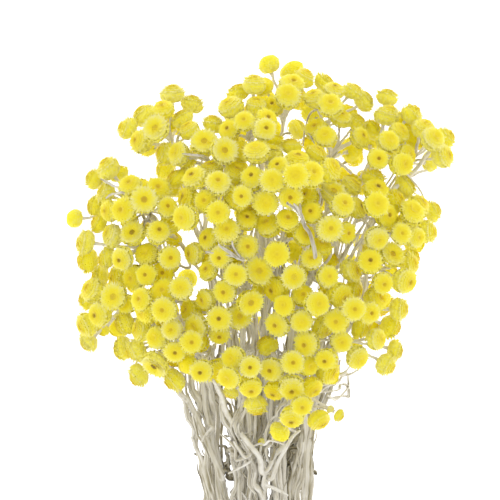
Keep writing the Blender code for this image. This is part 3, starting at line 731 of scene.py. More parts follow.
def space_out(bunch):
    """Moves joints until each spray is clear of the others, while heads keep near their places.

    Depth gives way more easily than the place on the plan, so the view from above stays.
    """
    home = bunch.home = np.array(bunch.points)
    points = home.copy()
    pull = np.array(bunch.pull)[:, None] * [1.0, 1.0, DEPTH_PULL]
    ends = np.array([bar[:2] for bar in bunch.bars])
    radius, owner = (np.array(column) for column in list(zip(*bunch.bars))[2:])
    is_head = ends[:, 0] == ends[:, 1]
    first, second = np.triu_indices(len(ends), 1)
    own_pedicel = (ends[first, 1] == ends[second, 0]) & is_head[second]
    same = owner[first] == owner[second]
    apart = ~same | ((is_head[first] | is_head[second]) & ~own_pedicel)
    first, second, same = first[apart], second[apart], same[apart]
    wish = radius[first] + radius[second] + np.where(same, OWN_CLEAR, CLEAR)
    inner = np.array([p for spray in bunch.sprays for p in spray["stem"][1:-1]])
    bend = points[inner] - (points[inner - 1] + points[inner + 1]) / 2
    cut_ends = np.array([spray["stem"][0] for spray in bunch.sprays])
    centres, sizes, flat = bunch.column("centre"), bunch.column("radius"), bunch.column("flat")
    roots, forks, tips, shares = (np.array(column) for column in zip(*bunch.roots))
    shares = shares[:, None]
    hung, hooks = np.array(bunch.hung).T
    hang = points[hung] - points[hooks]
    floor = np.full(len(points), STEM_RADIUS_CUT)
    floor[centres] = sizes * FLOOR_ROOM
    for turn in range(ROUNDS):
        settling = turn < ROUNDS * SETTLING
        if turn % RENEW == 0:
            starts, stops = points[ends.T]
            middle = (starts + stops) / 2
            size = np.linalg.norm(starts - stops, axis=1) / 2
            room = np.linalg.norm(middle[first] - middle[second], axis=1) - size[first] - size[second]
            close = room < wish + NEARBY
        (a, b), (c, d) = ends[first[close]].T, ends[second[close]].T
        s, t = nearest(points[a], points[b], points[c], points[d])
        off = points[a] * (1 - s) + points[b] * s - (points[c] * (1 - t) + points[d] * t)
        far = np.linalg.norm(off, axis=1)
        short = wish[close] - far
        hit = short > 0
        push = off[hit] / np.maximum(far, TINY)[hit, None] * short[hit, None] * EASE
        move = np.zeros_like(points)
        for index, share in ((a, 1 - s), (b, s), (c, t - 1), (d, -t)):
            np.add.at(move, index[hit], push * share[hit])
        length = np.linalg.norm(move, axis=1, keepdims=True)
        points += move * np.minimum(1, LONGEST_MOVE / np.maximum(length, TINY))
        if settling:
            points += pull * (home - points)
        smooth = (points[inner - 1] + points[inner + 1]) / 2 + bend - points[inner]
        points[inner] += (STRAIGHTEN if settling else STRAIGHTEN_LATE) * smooth
        points[hung] += HANG * (points[hooks] + hang - points[hung])
        points[roots] = points[forks] * (1 - shares) + points[tips] * shares
        points[cut_ends, 1] = home[cut_ends, 1]
        points[:, 2] = np.maximum(points[:, 2], floor)
        points[centres[flat], 2] = sizes[flat] * FLAT_HEIGHT
    bunch.points = points


def centre_plan(bunch):
    """Brings the middle of the bunch's plan to the origin."""
    places, sizes = bunch.points[bunch.column("centre"), :2], bunch.column("radius")[:, None]
    cuts = bunch.points[[spray["stem"][0] for spray in bunch.sprays]][:, :2]
    low = np.minimum((places - sizes).min(axis=0), cuts.min(axis=0))
    high = np.maximum((places + sizes).max(axis=0), cuts.max(axis=0))
    bunch.points[:, :2] -= (low + high) / 2


def set_faces(bunch, rng):
    """Turns each head away from its branch, and a little with its spray."""
    for spray in bunch.sprays:
        fork = bunch.points[spray["stem"][-2]]
        for head in spray["heads"]:
            centre = bunch.points[head["centre"]]
            own, spray_way = unit(centre - bunch.points[head["root"]]), unit(centre - fork)
            face = unit(FACE_FROM_ROOT * own + (1 - FACE_FROM_ROOT) * spray_way)
            head["face"] = np.array([0.0, 0.0, -1.0]) if head["flat"] else face
            head["turn"] = rng.uniform(0, FULL_TURN)


def lay_out():
    """The bunch as its solids have it."""
    rng = np.random.default_rng(SEED)
    bunch = Bunch()
    for name, pixels in SEEN_HEADS.items():
        fork, heads = seen_spray(name, pixels, rng)
        bunch.add(name, fork, heads, False, rng)
    for name, place in BACK_SPRAYS.items():
        fork, heads = back_spray(place, rng)
        bunch.add(name, fork, heads, name in RESTING, rng)
    space_out(bunch)
    centre_plan(bunch)
    set_faces(bunch, rng)
    return bunch


def name_forms(bunch):
    """Gives sprays their places, and each head its look by the pixel place that its own comes from."""
    forms = {photo_place(pixel): form for form, pixels in FORMS.items() for pixel in pixels}
    for spray in bunch.sprays:
        for head in spray["heads"]:
            home = tuple(bunch.home[head["centre"]][:2])
            form = forms.get(home, "open" if head["open"] else "closed")
            head["form"] = "plain" if spray["name"] in BACK_SPRAYS else form
            head["centre"], head["root"] = bunch.points[[head["centre"], head["root"]]]
        spray["stem"], spray["leaf"] = bunch.points[spray["stem"]], bunch.points[list(spray["leaf"])]
        spray["line"] = smooth_line(spray["stem"], STEM_STATIONS)
        spray["axis"] = unit(spray["stem"][-1] - spray["stem"][-2])


def distance_to_bars(place, starts, ends):
    """How far a place is from each of many straight bars."""
    way = ends - starts
    share = ((place - starts) * way).sum(1) / (way * way).sum(1)
    return np.linalg.norm(place - starts - np.clip(share, 0, 1)[:, None] * way, axis=1)


def fill_heads(bunch, look):
    """Tucks more heads in between and under the seen ones, where there is room."""
    starts = np.concatenate([spray["stem"][:-1] for spray in bunch.sprays])
    ends = np.concatenate([spray["stem"][1:] for spray in bunch.sprays])
    for spray in bunch.sprays:
        if spray["name"] in BACK_SPRAYS or spray["name"] in UNFILLED:
            continue
        fork, top = spray["stem"][-2:]
        added = 0
        for _ in range(FILL_TRIES):
            way = unit(spray["axis"] + FILL_SPREAD * unit(look.normal(size=3)))
            place = fork + look.uniform(*FILL_REACH) * way
            radius = HEAD_RADIUS * look.uniform(*FILL_SIZE)
            centres, sizes = bunch.column("centre"), bunch.column("radius")
            apart = np.linalg.norm(centres - place, axis=1) - FILL_OVERLAP * (sizes + radius)
            clear = distance_to_bars(place, starts, ends) - radius
            low = place[2] < radius + FILL_OVER_FLOOR
            if added == FILL_MOST or apart.min() < 0 or clear.min() < 0 or low:
                continue
            root = fork + look.uniform(*FILL_ROOT) * (top - fork)
            face = unit(FILL_FACE_FROM_ROOT * unit(place - root) + (1 - FILL_FACE_FROM_ROOT) * way)
            add_head(spray, root, place, radius, "plain", face, look.uniform(0, FULL_TURN))
            added += 1


def add_head(spray, root, centre, radius, form, face, turn):
    spray["heads"].append(
        {"root": root, "centre": centre, "radius": radius, "form": form, "face": face, "turn": turn}
    )


def dry_buds(bunch):
    """Adds the buds that dried while small, each on the stem nearest to it."""
    stems, owners, heights = front_places(bunch)
    for pixel, radius, over in DRY_BUDS:
        height = front_height(*seen_place(pixel, CAMERA_LEVEL), heights) + over
        centre = np.array([*seen_place(pixel, height), height])
        station = np.linalg.norm(stems - centre, axis=1).argmin()
        root = stems[station]
        add_head(bunch.sprays[owners[station]], root, centre, radius, "dry", unit(centre - root), 0.0)


def cover_heads(bunch):
    """Notes how far each head is covered by the heads in front of it, from 0 to 1, for its painted shade."""
    centres = bunch.column("centre")
    for spray in bunch.sprays:
        for head in spray["heads"]:
            gaps = np.hypot(*(centres - head["centre"])[:, :2].T)
            above = np.clip((centres[:, 2] - head["centre"][2]) / HEAD_RADIUS, 0, 1)
            covered = COVER_SHARE * (above * np.clip(1 - gaps / COVER_REACH, 0, 1)).sum()
            head["cover"] = min(1.0, max(0.0, covered - COVER_LEAST))


def seen_place(pixel, height):
    """The place at some height that the camera sees at a pixel of the photo."""
    scale = MM_PER_PIXEL * (1 - (height - CAMERA_LEVEL) / CAMERA_DISTANCE)
    return CAMERA_MIDDLE + scale * np.array([pixel[0] - PHOTO_MIDDLE, PHOTO_MIDDLE - pixel[1]])


def front_height(x, y, heights):
    """How high the bunch's front is over a place: the highest of the stems and heads near it."""
    near = np.hypot(heights[:, 0] - x, heights[:, 1] - y)
    return heights[near < max(FRONT_REACH, near.min() + FRONT_MARGIN), 2].max()


def front_places(bunch):
    """Places along the stems, the number of the spray of each, and those places with the heads'."""
    stems = np.concatenate([spray["line"] for spray in bunch.sprays])
    owners = np.repeat(np.arange(len(bunch.sprays)), STEM_STATIONS)
    return stems, owners, np.concatenate([stems, bunch.column("centre")])


class Growth:
    """Grows one mesh out of patches of points, triangles and two shades."""

    def __init__(self):
        self.points, self.faces, self.shades, self.round, self.count = [], [], [], [], 0

    def add(self, points, faces, first, second, round_=True):
        """Adds patches of one pattern: points (..., n, 3), the triangles of one, and each point's shades."""
        starts = np.arange(self.count, self.count + points.size // 3, points.shape[-2])
        self.count += points.size // 3
        self.points.append(points.reshape(-1, 3))
        self.faces.append((faces + starts[:, None, None]).reshape(-1, 3))
        self.round.append(np.full(len(self.faces[-1]), round_))
        shades = np.broadcast_arrays(first, second, points[..., 0])[:2]
        self.shades.append(np.stack(shades, axis=-1).reshape(-1, 2))

    def make(self, name, material, slot, node):
        points = np.concatenate(self.points) * MM
        faces = np.concatenate(self.faces).astype(np.int32)
        mesh = bpy.data.meshes.new(name)
        mesh.vertices.add(len(points))
        mesh.vertices.foreach_set("co", points.ravel())
        mesh.loops.add(faces.size)
        mesh.loops.foreach_set("vertex_index", faces.ravel())
        mesh.polygons.add(len(faces))
        mesh.polygons.foreach_set("loop_start", np.arange(0, faces.size, 3, dtype=np.int32))
        mesh.update(calc_edges=True)
        mesh.polygons.foreach_set("use_smooth", np.concatenate(self.round))
        colours = np.ones((len(points), 4))
        colours[:, :2] = np.clip(np.concatenate(self.shades), 0, 1)
        layer = mesh.attributes.new("shade", "FLOAT_COLOR", "POINT")
        layer.data.foreach_set("color", colours.ravel())
        mesh.materials.append(material)
        piece = new_object(name, mesh)
        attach(piece, "root")
        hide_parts(node)


def new_object(name, data):
    thing = bpy.data.objects.new(name, data)
    bpy.context.scene.collection.objects.link(thing)
    return thing


def polar(turns):
    """Directions out from an axis at some turns, and round it."""
    flat = np.zeros_like(turns)
    out = np.stack([np.cos(turns), np.sin(turns), flat], axis=-1)
    return out, np.stack([-np.sin(turns), np.cos(turns), flat], axis=-1)


def turned(profile, turns):
    """Points at distances from an axis and heights along it, turned round it."""
    reach, height = np.broadcast_to(profile, (len(turns), 2)).T
    return np.stack([reach * np.cos(turns), reach * np.sin(turns), height], axis=1)


def swing(turn, side, other):
    """The direction at some turn from one side towards the other."""
    return np.cos(turn) * side + np.sin(turn) * other


def smooth_line(line, count):
    """A smooth line with more points through the given ones."""
    line = np.asarray(line, float)
    ends = np.concatenate([[2 * line[0] - line[1]], line, [2 * line[-1] - line[-2]]])
    at = np.linspace(0, len(line) - 1 - TINIEST, count)
    k, t = at.astype(int), (at % 1)[:, None]
    a, b, c, d = ends[k], ends[k + 1], ends[k + 2], ends[k + 3]
    return 0.5 * (2 * b + (c - a) * t + (2 * a - 5 * b + 4 * c - d) * t**2 + (3 * b - a - 3 * c + d) * t**3)


def wander(look, size, knots, count):
    """Smooth random offsets along a line of many points."""
    return smooth_line(look.normal(0, size, (knots, 3)), count)


def unevenness(look, size, knots, count):
    """Factors near 1 that change smoothly along a line of many points."""
    return 1 + size * smooth_line(look.normal(0, 1, (knots, 1)), count)[:, 0]


def twisting(look, step, count, drift=0.0):
    """A turn that changes at random along a line of many points."""
    return look.uniform(0, 6) + np.cumsum(look.normal(drift, step, count))


def frames(line):
    """Two directions across a line at each of its points, carried along it without a twist."""
    ways = unit(np.gradient(line, axis=0))
    side = np.cross(ways[0], TUBE_ASIDE)
    sides = []
    for way in ways:
        side = unit(side - way * (side @ way))
        sides.append(side)
    return np.array(sides), np.cross(ways, sides)


def wall_faces(rings, sides):
    """Triangles of the wall that joins rings of points, one after another."""
    faces = []
    for n in range(rings - 1):
        for k in range(sides):
            a, b = n * sides + k, n * sides + (k + 1) % sides
            faces += [(a, b, b + sides), (a, b + sides, a + sides)]
    return faces


def tube_faces(stations, sides):
    """Triangles of a closed tube: its wall and both ends."""
    last = (stations - 1) * sides
    faces = wall_faces(stations, sides)
    for k in range(1, sides - 1):
        faces += [(0, k + 1, k), (last, last + k, last + k + 1)]
    return np.array(faces)


def blade_faces(stations):
    """Triangles of one closed blade: stations of three points each, then its tip."""
    last = 3 * (stations - 1)
    tip = [(last + k, last + (k + 1) % 3, last + 3) for k in range(3)]
    return np.array([(0, 2, 1), *wall_faces(stations, 3), *tip])


def lathe(profile, sides):
    """A closed turned body from its axis profile, in head radii, as points and triangles."""
    turns = FULL_TURN * np.arange(sides) / sides
    rings = [turned(place, turns) for place in profile[:-1]]
    points = np.concatenate([*rings, [[0.0, 0.0, profile[-1][1]]], [[0.0, 0.0, profile[0][1]]]])
    last = (len(rings) - 1) * sides
    faces = wall_faces(len(rings), sides)
    for k in range(sides):
        side = (k + 1) % sides
        faces += [(last + k, last + side, last + sides), (side, k, last + sides + 1)]
    return points, np.array(faces)


def skin_at(form, angles):
    """Where a head's skin is at some angles from its face, as distances from the axis and heights."""
    middle, top, bottom, narrow = SKIN[form]
    up = np.cos(angles)
    reach = np.where(up > 0, np.sin(angles), np.sin(angles) ** narrow)
    return np.stack([reach, middle + np.where(up > 0, top, bottom) * up], axis=-1)


def skin_path(form, tip_angle, flare):
    """A bract's root, shoulders and tip over a head's skin: its root inside, its tip free."""
    skin = skin_at(form, np.minimum(tip_angle + BRACT_REACH, LOWEST_SKIN))
    bend = flare * SPREAD
    return np.stack([skin[:, 0] * TUCK + bend, skin[:, 1] * TUCK + SPREAD_UP * bend], axis=1)


def grow_ring(growth, place, path, count, n, keel, rough, pale, warmth_and_shade, look):
    """A ring of bracts round a head's axis: the root, left, keel, right and tip of each.

    The path holds a bract's root, its shoulders and its tip as distances from the axis and heights.
    """
    path = np.asarray(path, float)
    phase = 0.5 * (n % 2)
    turns = FULL_TURN * (np.arange(count) + phase) / count + look.normal(0, TURN_VARIES / count, count)
    lean = look.normal(0, LEAN_VARIES / count, count)
    long = 1 + look.normal(0, LONG_VARIES, count)[:, None]
    way = unit(path[2] - path[0])
    outward = np.array([way[1], -way[0]])
    half = BRACT_OVERLAP * math.pi * path[1, 0] / count * polar(turns)[1]
    tips = path[1] + (path[2] - path[1]) * long + look.normal(0, rough, (count, 1)) * outward
    middles = path[1] + look.normal(0, SHOULDER_ROUGH * rough, (count, 1)) * outward
    middle, raised = turned(middles, turns), turned(middles + keel * outward, turns)
    root, tip = turned(path[0], turns), turned(tips, turns + lean)
    points = np.stack([root, middle - half, raised, middle + half, tip], axis=1)
    pale = pale + look.normal(0, PALE_VARIES, (count, 1))
    growth.add(place(points), BRACT_FACES, pale, warmth_and_shade, False)


def grow_head(growth, head, look):
    """A head of papery bracts in rings, on its solid's place."""
    form, face, centre = head["form"], head["face"], head["centre"]
    radius = HEAD_LARGER * HEAD_SHARE.get(form, 1.0) * head["radius"]
    side = unit(np.cross(face, HEAD_ASIDE))
    side = swing(head["turn"], side, np.cross(face, side))
    axes = np.stack([side, np.cross(face, side), face])
    skin = form if form in SKIN else "closed"
    # Painted shade: deep, back and covered heads are painted more golden
    tone = look.normal(0.0, HEAD_TONE_VARIES) + HEAD_TONE_AND_SHADE.get(form, 0.0) - COVER_SHADE * head["cover"]
    fluffy = FLUFFY_FORMS.get(form, look.uniform(*FLUFFY))
    tall = look.uniform(*TALL)
    waves = look.normal(0, WAVE_SIZE, len(OUTLINE_WAVES))
    phases = look.uniform(0, FULL_TURN, len(OUTLINE_WAVES))
    slant = look.normal(0, SLANT, 2)

    def place(local):
        turn = np.arctan2(local[..., 1], local[..., 0])[..., None]
        swell = (waves * np.cos(OUTLINE_WAVES * turn + phases)).sum(axis=-1, keepdims=True)
        height = local[..., 2:] * tall
        plan = local[..., :2] * (1 + swell) + slant * height
        return centre + radius * (np.concatenate([plan, height], axis=-1) @ axes)

    core, core_faces = lathe(CORES[skin], CORE_SIDES)
    reach = np.linalg.norm(core[:, :2], axis=1)
    ripe = look.uniform(*(RIPE if look.random() < RIPE_SHARE else UNRIPE))
    pit = (core[:, 2] > 0) * np.clip(PIT_DARKEST - reach / PIT_REACH[skin], 0, 1)
    outer = np.interp(np.degrees(np.arctan2(reach, core[:, 2])), FACE_EDGES, (0, 1))
    growth.add(place(core), core_faces, CORE_PALE[0] + CORE_PALE[1] * outer + tone, ripe * pit)
    for n, (angle, count) in enumerate(SIDE_RINGS.get(form, LOW_RINGS)):
        outer = np.interp(angle, FACE_EDGES, (0, 1))
        path = skin_path(skin, math.radians(angle), fluffy * np.interp(angle, FLARE_ANGLES, FLARE))
        rough = SIDE_ROUGH[0] + SIDE_ROUGH[1] * fluffy * outer
        pale = SIDE_PALE + (SIDE_MORE_PALE + FLUFFY_PALE * fluffy) * outer + tone
        # Paler underneath: partly the underside's own straw colour, partly painted light against the shade
        # there
        pale += UNDER_PALE * (angle > UNDER_ANGLE)
        grow_ring(growth, place, path, count, n, SIDE_KEEL, rough, pale, 0.0, look)
    fringe = FRINGE.get(form, round(FRINGE_MOST * fluffy))
    grow_fringe(growth, place, skin, fringe, tone, look)
    rough = FACE_ROUGH[0] + FACE_ROUGH[1] * fluffy
    for n, (*path, count, pale) in enumerate(FACES[skin]):
        count = round(PLAIN_SHARE * count) if form == "plain" else count
        pale = pale + tone + (FACE_PALE if n else RIM_PALE)
        # The pit's colour and painted shade, only where nothing covers the head
        warmth_and_shade = FACE_WARMTH_AND_SHADE * (n + 1) * (1 - head["cover"])
        grow_ring(growth, place, path, count, n, FACE_KEEL, rough, pale, warmth_and_shade, look)
    if skin == "open":
        grow_disc(growth, place, ripe, look)


def grow_fringe(growth, place, skin, count, tone, look):
    """Loose papery tips that stand off a head's sides and make its outline ragged."""
    profile = skin_at(skin, np.radians(look.uniform(*FRINGE_ANGLES, count)))
    turns = look.uniform(0, FULL_TURN, count)
    long = look.uniform(*FRINGE_LONG, count)[:, None]
    across = polar(turns)[1]
    local = np.zeros((count, 4, 3))
    for corner in range(3):
        edge = swing(corner * FULL_TURN / 3, across, np.array([0.0, 0.0, 1.0]))
        local[:, corner] = FRINGE_ROOT * turned(profile, turns) + FRINGE_THICK * edge
    bend = look.normal(0, FRINGE_BENDS, (count, 1)) * long * across
    local[:, 3] = turned(profile + long * [1, FRINGE_RISE], turns) + bend
    pale = FRINGE_PALE + tone + look.normal(0, FRINGE_PALE_VARIES, (count, 1)) + FRINGE_TIP_PALE
    growth.add(place(local), CONE_FACES, pale, 0.0, False)


def grow_disc(growth, place, ripe, look):
    """The tiny florets in an open head's disc."""
    k = np.arange(FLORETS)
    reach = DISC_REACH * np.sqrt((k + 0.5) / FLORETS)
    turns = k * GOLDEN
    middle = turned(np.stack([reach, DISC_HEIGHT - DISC_FALL * reach**2], axis=1), turns)
    edges = [FLORET_THICK * polar(turns + corner * FULL_TURN / 3)[0] for corner in range(3)]
    local = np.stack([*(middle + edge for edge in edges), middle + [0, 0, FLORET_LONG]], axis=1)
    brown = ripe + look.uniform(*FLORET_BROWN_VARIES, (FLORETS, 1)) + FLORET_BROWN
    growth.add(place(local), CONE_FACES, FLORET_PALE, brown, False)


def depth_shade(points):
    """How much lighter a place is painted than the rest: painted shade darkens what lies deep in the bunch.
    """
    return DEPTH_SHADE * np.clip((points[..., 2] - DEPTH_MIDDLE) / DEPTH_HALF, -1, 1)


def grow_tube(growth, line, radii, kind, tone, look):
    """A ridged, flattened tube along a line, with painted shade in its grooves and painted light on its
    bumps.
    """
    sides, flat, ridges = kind
    count = len(line)
    side, other = (directions[:, None] for directions in frames(line))
    turns = FULL_TURN * np.arange(sides) / sides
    twist, drift = twisting(look, TUBE_TWIST, count), twisting(look, TUBE_DRIFT, count)
    ridge = np.cos(ridges * turns + drift[:, None])
    rough = look.normal(0, TUBE_ROUGH, (count, sides))
    swell = 1 + flat * np.cos(2 * (turns - twist[:, None])) + RIDGE_HIGH * ridge + rough
    points = line[:, None] + (radii[:, None] * swell)[..., None] * swing(turns[:, None], side, other)
    # Painted shade in the grooves and painted light on the outward bumps
    lit = (0.5 + 0.5 * ridge + 2 * rough).ravel()
    # Painted shade: stems lower in the bunch are painted darker
    tones = tone + np.repeat(depth_shade(line), sides)
    growth.add(points.reshape(-1, 3), tube_faces(count, sides), lit, tones)


def grow_stem(growth, spray, look):
    """The stem with its crooks, knots and wool, and the strands that cling to it."""
    share = np.linspace(0, 1, STEM_STATIONS)
    fade = np.minimum(1, np.arange(STEM_STATIONS)[::-1] / CROOK_FADE)[:, None]
    line = spray["line"] + wander(look, CROOK, CROOK_KNOTS, STEM_STATIONS) * fade
    radii = stem_radii(STEM_STATIONS) * look.uniform(*STEM_THICK)
    radii = radii * unevenness(look, STEM_UNEVEN, UNEVEN_KNOTS, STEM_STATIONS)
    for node in look.uniform(*NODE_PLACES, NODES):
        radii = radii * (1 + NODE_SWELL * np.exp(-(((share - node) / NODE_LONG) ** 2)))
    grow_tube(growth, line, radii, STEM_TUBE, look.normal(*STEM_TONE), look)
    grow_wool(growth, line, radii, look)
    for _ in range(STRANDS):
        start, stop = sorted(look.uniform(0.0, 1.0, 2))
        stop = min(STRAND_END, max(stop, start + STRAND_LONG))
        count = int(STRAND_STATIONS * (stop - start)) + STRAND_LEAST
        at = np.linspace(start, stop, count)
        base = np.stack([np.interp(at, share, line[:, k]) for k in range(3)], axis=1)
        turn = twisting(look, STRAND_TWIST, count)[:, None]
        away = np.sin(math.pi * np.linspace(0, 1, count)) * look.uniform(*STRAND_AWAY)
        off = STRAND_OFF + away * unevenness(look, *STRAND_SWAY, count)
        base = base + off[:, None] * swing(turn, *frames(base))
        thick = look.uniform(*STRAND_THICK) * unevenness(look, *STRAND_UNEVEN, count)
        grow_tube(growth, base, thick, STRAND_TUBE, look.normal(*STRAND_TONE), look)


def grow_wool(growth, line, radii, look):
    """Short hairs that stand off the stem."""
    side, other = frames(line)
    k = look.integers(2, STEM_STATIONS - 2, WOOL_HAIRS)
    out = swing(look.uniform(0, FULL_TURN, WOOL_HAIRS)[:, None], side[k], other[k])
    along = unit(line[k + 1] - line[k])
    across = np.cross(along, out)
    root = line[k] + WOOL_ROOT * radii[k][:, None] * out
    long = look.uniform(*WOOL_LONG, (WOOL_HAIRS, 1))
    lean = look.normal(*WOOL_LEAN, (WOOL_HAIRS, 1))
    turn = look.normal(0, WOOL_TURN, (WOOL_HAIRS, 1))
    tip = root + long * unit(out + lean * along + turn * across)
    corners = [root + WOOL_WIDE * edge for edge in (-across, along, across)]
    growth.add(np.stack([*corners, tip], axis=1), CONE_FACES[:, ::-1], *WOOL_SHADES)


def outline(stations, count):
    """How wide a growth is along itself, as shares of its width."""
    return np.interp(np.linspace(0, 1, count), *stations)


def grow_pedicel(growth, axis, head, look):
    """A thin pedicel that leaves the stem along it and meets its head from behind."""
    root, face = head["root"], head["face"]
    base = head["centre"] - HEAD_BASE * head["radius"] * face
    bend = PEDICEL_BEND * np.linalg.norm(base - root)
    start, stop = root - PEDICEL_ROOT * axis, base + PEDICEL_REACH * face
    line = curve(start, root + bend * axis, base - bend * face, stop, PEDICEL_POINTS)
    line[1:-1] += look.normal(0, PEDICEL_CROOK, (PEDICEL_POINTS - 2, 3))
    radii = PEDICEL_RADIUS * outline(PEDICEL_OUTLINE, PEDICEL_POINTS)
    grow_tube(growth, line, radii, PEDICEL_TUBE, look.normal(*PEDICEL_TONE), look)


def grow_leaf(growth, line, width, tone, look):
    """A narrow dry leaf along a line: a thin closed blade, folded along its midrib, that twists."""
    count = len(line)
    side, other = frames(line)
    step, drift = LEAF_TWIST
    across = swing(twisting(look, step, count, drift)[:, None], side, other)
    up = np.cross(unit(np.gradient(line, axis=0)), across)
    half = width / 2 * outline(LEAF_OUTLINE, count)[:, None]
    midrib = line + look.uniform(*LEAF_CURL) * half * up + LEAF_FOLD * up
    points = np.stack([line - half * across, midrib, line + half * across], axis=1)
    tip = line[-1:] + LEAF_TIP * unit(line[-1:] - line[-2:-1])
    points = np.concatenate([points.reshape(-1, 3), tip])
    pale = LEAF_PALE + np.append(np.tile(LEAF_EDGES, count), 0)
    # Painted shade: leaves lower in the bunch are painted darker
    growth.add(points, blade_faces(count)[:, ::-1], pale, tone + depth_shade(points))


def grow_leaves(growth, spray, look):
    """Leaves that cling to the stem, one of them where its solid has one, some of them withered."""
    line = smooth_line(spray["leaf"], FIRST_LEAF_POINTS)
    line[1:] += wander(look, *FIRST_LEAF_CROOK, FIRST_LEAF_POINTS)[1:]
    grow_leaf(growth, line, FIRST_LEAF_WIDE, LEAF_TONE[0], look)
    side, other = frames(spray["line"])
    for _ in range(LEAVES):
        k = int(look.uniform(*LEAF_START))
        along = spray["line"][k : k + int(look.uniform(*LEAF_SPAN))]
        out = swing(look.uniform(0, LEAF_TURN), side[k], other[k])
        rise = np.linspace(0, 1, len(along))[:, None]
        line = along + out * (LEAF_NEAR + look.uniform(*LEAF_AWAY) * rise**LEAF_BOW)
        line = smooth_line(line, LEAF_POINTS)
        line[1:] += wander(look, *LEAF_CROOK, LEAF_POINTS)[1:]
        withered = look.random() < WITHERED_SHARE
        tone = look.uniform(*WITHERED_TONE) if withered else look.normal(*LEAF_TONE)
        grow_leaf(growth, line, look.uniform(*LEAF_WIDE), tone, look)


def grow_twigs(growths, bunch, look):
    """The twigs apart from the stems, each grown from the stem point nearest to one of its ends."""
    stems, owners, heights = front_places(bunch)
    twigs = list(TWIGS)
    # Dark scraps: partly withered matter, partly painted shade in the low gaps
    for n in range(SCRAPS):
        first = look.uniform(*SCRAP_BOXES[n % len(SCRAP_BOXES)])
        steps = look.normal(0, SCRAP_STEP, (SCRAP_STEPS, 2)) + look.normal(0, SCRAP_DRIFT, 2)
        under = look.uniform(*SCRAP_UNDER)
        wide = look.uniform(*SCRAP_WIDE)
        twigs.append((first + np.cumsum(steps, axis=0), wide, under, look.uniform(*SCRAP_TONE_AND_SHADE)))
    for pixels, wide, under, tone in twigs:
        z = [front_height(*seen_place(pixel, CAMERA_LEVEL), heights) for pixel in pixels]
        z = np.maximum(np.convolve(np.pad(z, 1, "edge"), [1 / 3] * 3, "valid") - under, TWIG_LOWEST)
        line = np.array([(*seen_place(pixel, height), height) for pixel, height in zip(pixels, z)])
        gaps = np.linalg.norm(stems[None] - line[[0, -1], None], axis=2)
        end, station = np.unravel_index(gaps.argmin(), gaps.shape)
        line = line if end == 0 else line[::-1]
        line = smooth_line(np.concatenate([stems[station][None], line]), TWIG_DENSE * len(line))
        line[1:] += wander(look, TWIG_CROOK, len(pixels), len(line))[1:]
        thick = wide / 2 * outline(TWIG_OUTLINE, len(line))
        grow_tube(growths[owners[station]], line, thick, TWIG_TUBE, tone, look)


def feed(tree, node, inputs):
    """Gives a node's sockets their constants, or links them to other sockets."""
    for name, value in inputs.items():
        if isinstance(value, bpy.types.NodeSocket):
            tree.links.new(value, node.inputs[name])
        else:
            node.inputs[name].default_value = value


def add_node(tree, kind, inputs):
    node = tree.nodes.new("ShaderNode" + kind)
    feed(tree, node, inputs)
    return node


def maths(tree, operation, first, second):
    node = add_node(tree, "Math", {0: first, 1: second})
    node.operation = operation
    return node.outputs["Value"]


def ramp(tree, value, stops):
    """A colour ramp fed by a value."""
    node = add_node(tree, "ValToRGB", {"Fac": value})
    elements = node.color_ramp.elements
    while len(elements) < len(stops):
        elements.new(0.5)
    for element, (at, *screen) in zip(elements, stops):
        shares = np.array(screen) / 255
        low, high = shares / SCREEN_LINEAR, ((shares + SCREEN_OFFSET) / (1 + SCREEN_OFFSET)) ** SCREEN_POWER
        element.position = at
        element.color = (*np.where(shares <= SCREEN_KNEE, low, high).tolist(), 1.0)
    return node.outputs["Color"]


def noise_at(tree, scale, stretch, detail):
    """Noise in the object's own space."""
    coords = add_node(tree, "TexCoord", {})
    mapping = add_node(tree, "Mapping", {"Scale": stretch, "Vector": coords.outputs["Object"]})
    inputs = {"Scale": scale, "Detail": detail, "Vector": mapping.outputs["Vector"]}
    return add_node(tree, "TexNoise", inputs).outputs["Fac"]


def new_material(name, inputs):
    material = bpy.data.materials.new(name)
    material.use_nodes = True
    tree = material.node_tree
    shader = tree.nodes["Principled BSDF"]
    feed(tree, shader, inputs)
    return material, tree, shader


def shade_channels(tree):
    attribute = add_node(tree, "Attribute", {})
    attribute.attribute_name = "shade"
    split = add_node(tree, "SeparateColor", {"Color": attribute.outputs["Color"]})
    return split.outputs["Red"], split.outputs["Green"]


def cover(tree, shader, colour, height, strength, distance):
    """Gives a shader its colour and its bumps."""
    bump = add_node(tree, "Bump", {"Strength": strength, "Distance": distance, "Height": height})
    feed(tree, shader, {"Base Color": colour, "Normal": bump.outputs["Normal"]})


def bract_material():
    """Papery yellow bracts: golden inside, pale at their tips, straw underneath, olive in the pit."""
    material, tree, shader = new_material(
        "papery_bracts",
        {
            "Roughness": 0.62, "Specular IOR Level": 0.15, "Sheen Weight": 0.2, "Sheen Roughness": 0.4,
            "Sheen Tint": (1.0, 0.97, 0.75, 1.0),
        },
    )
    # Painted shade rides on both channels: pale on deep, back and covered heads, brown towards the pit of
    # heads in full light
    pale, brown = shade_channels(tree)
    mottle = maths(tree, "SUBTRACT", noise_at(tree, *MOTTLE), 0.5)
    varied = maths(tree, "ADD", pale, maths(tree, "MULTIPLY", mottle, MOTTLE_MIX))
    mix = tree.nodes.new("ShaderNodeMix")
    mix.data_type = "RGBA"
    colours = {"A": ramp(tree, varied, BRACT_COLOURS), "B": ramp(tree, brown, PIT_COLOURS)}
    feed(tree, mix, {"Factor": ramp(tree, brown, PIT_MASK), **colours})
    cover(tree, shader, mix.outputs["Result"], noise_at(tree, *CREASES), *BRACT_BUMPS)
    return material


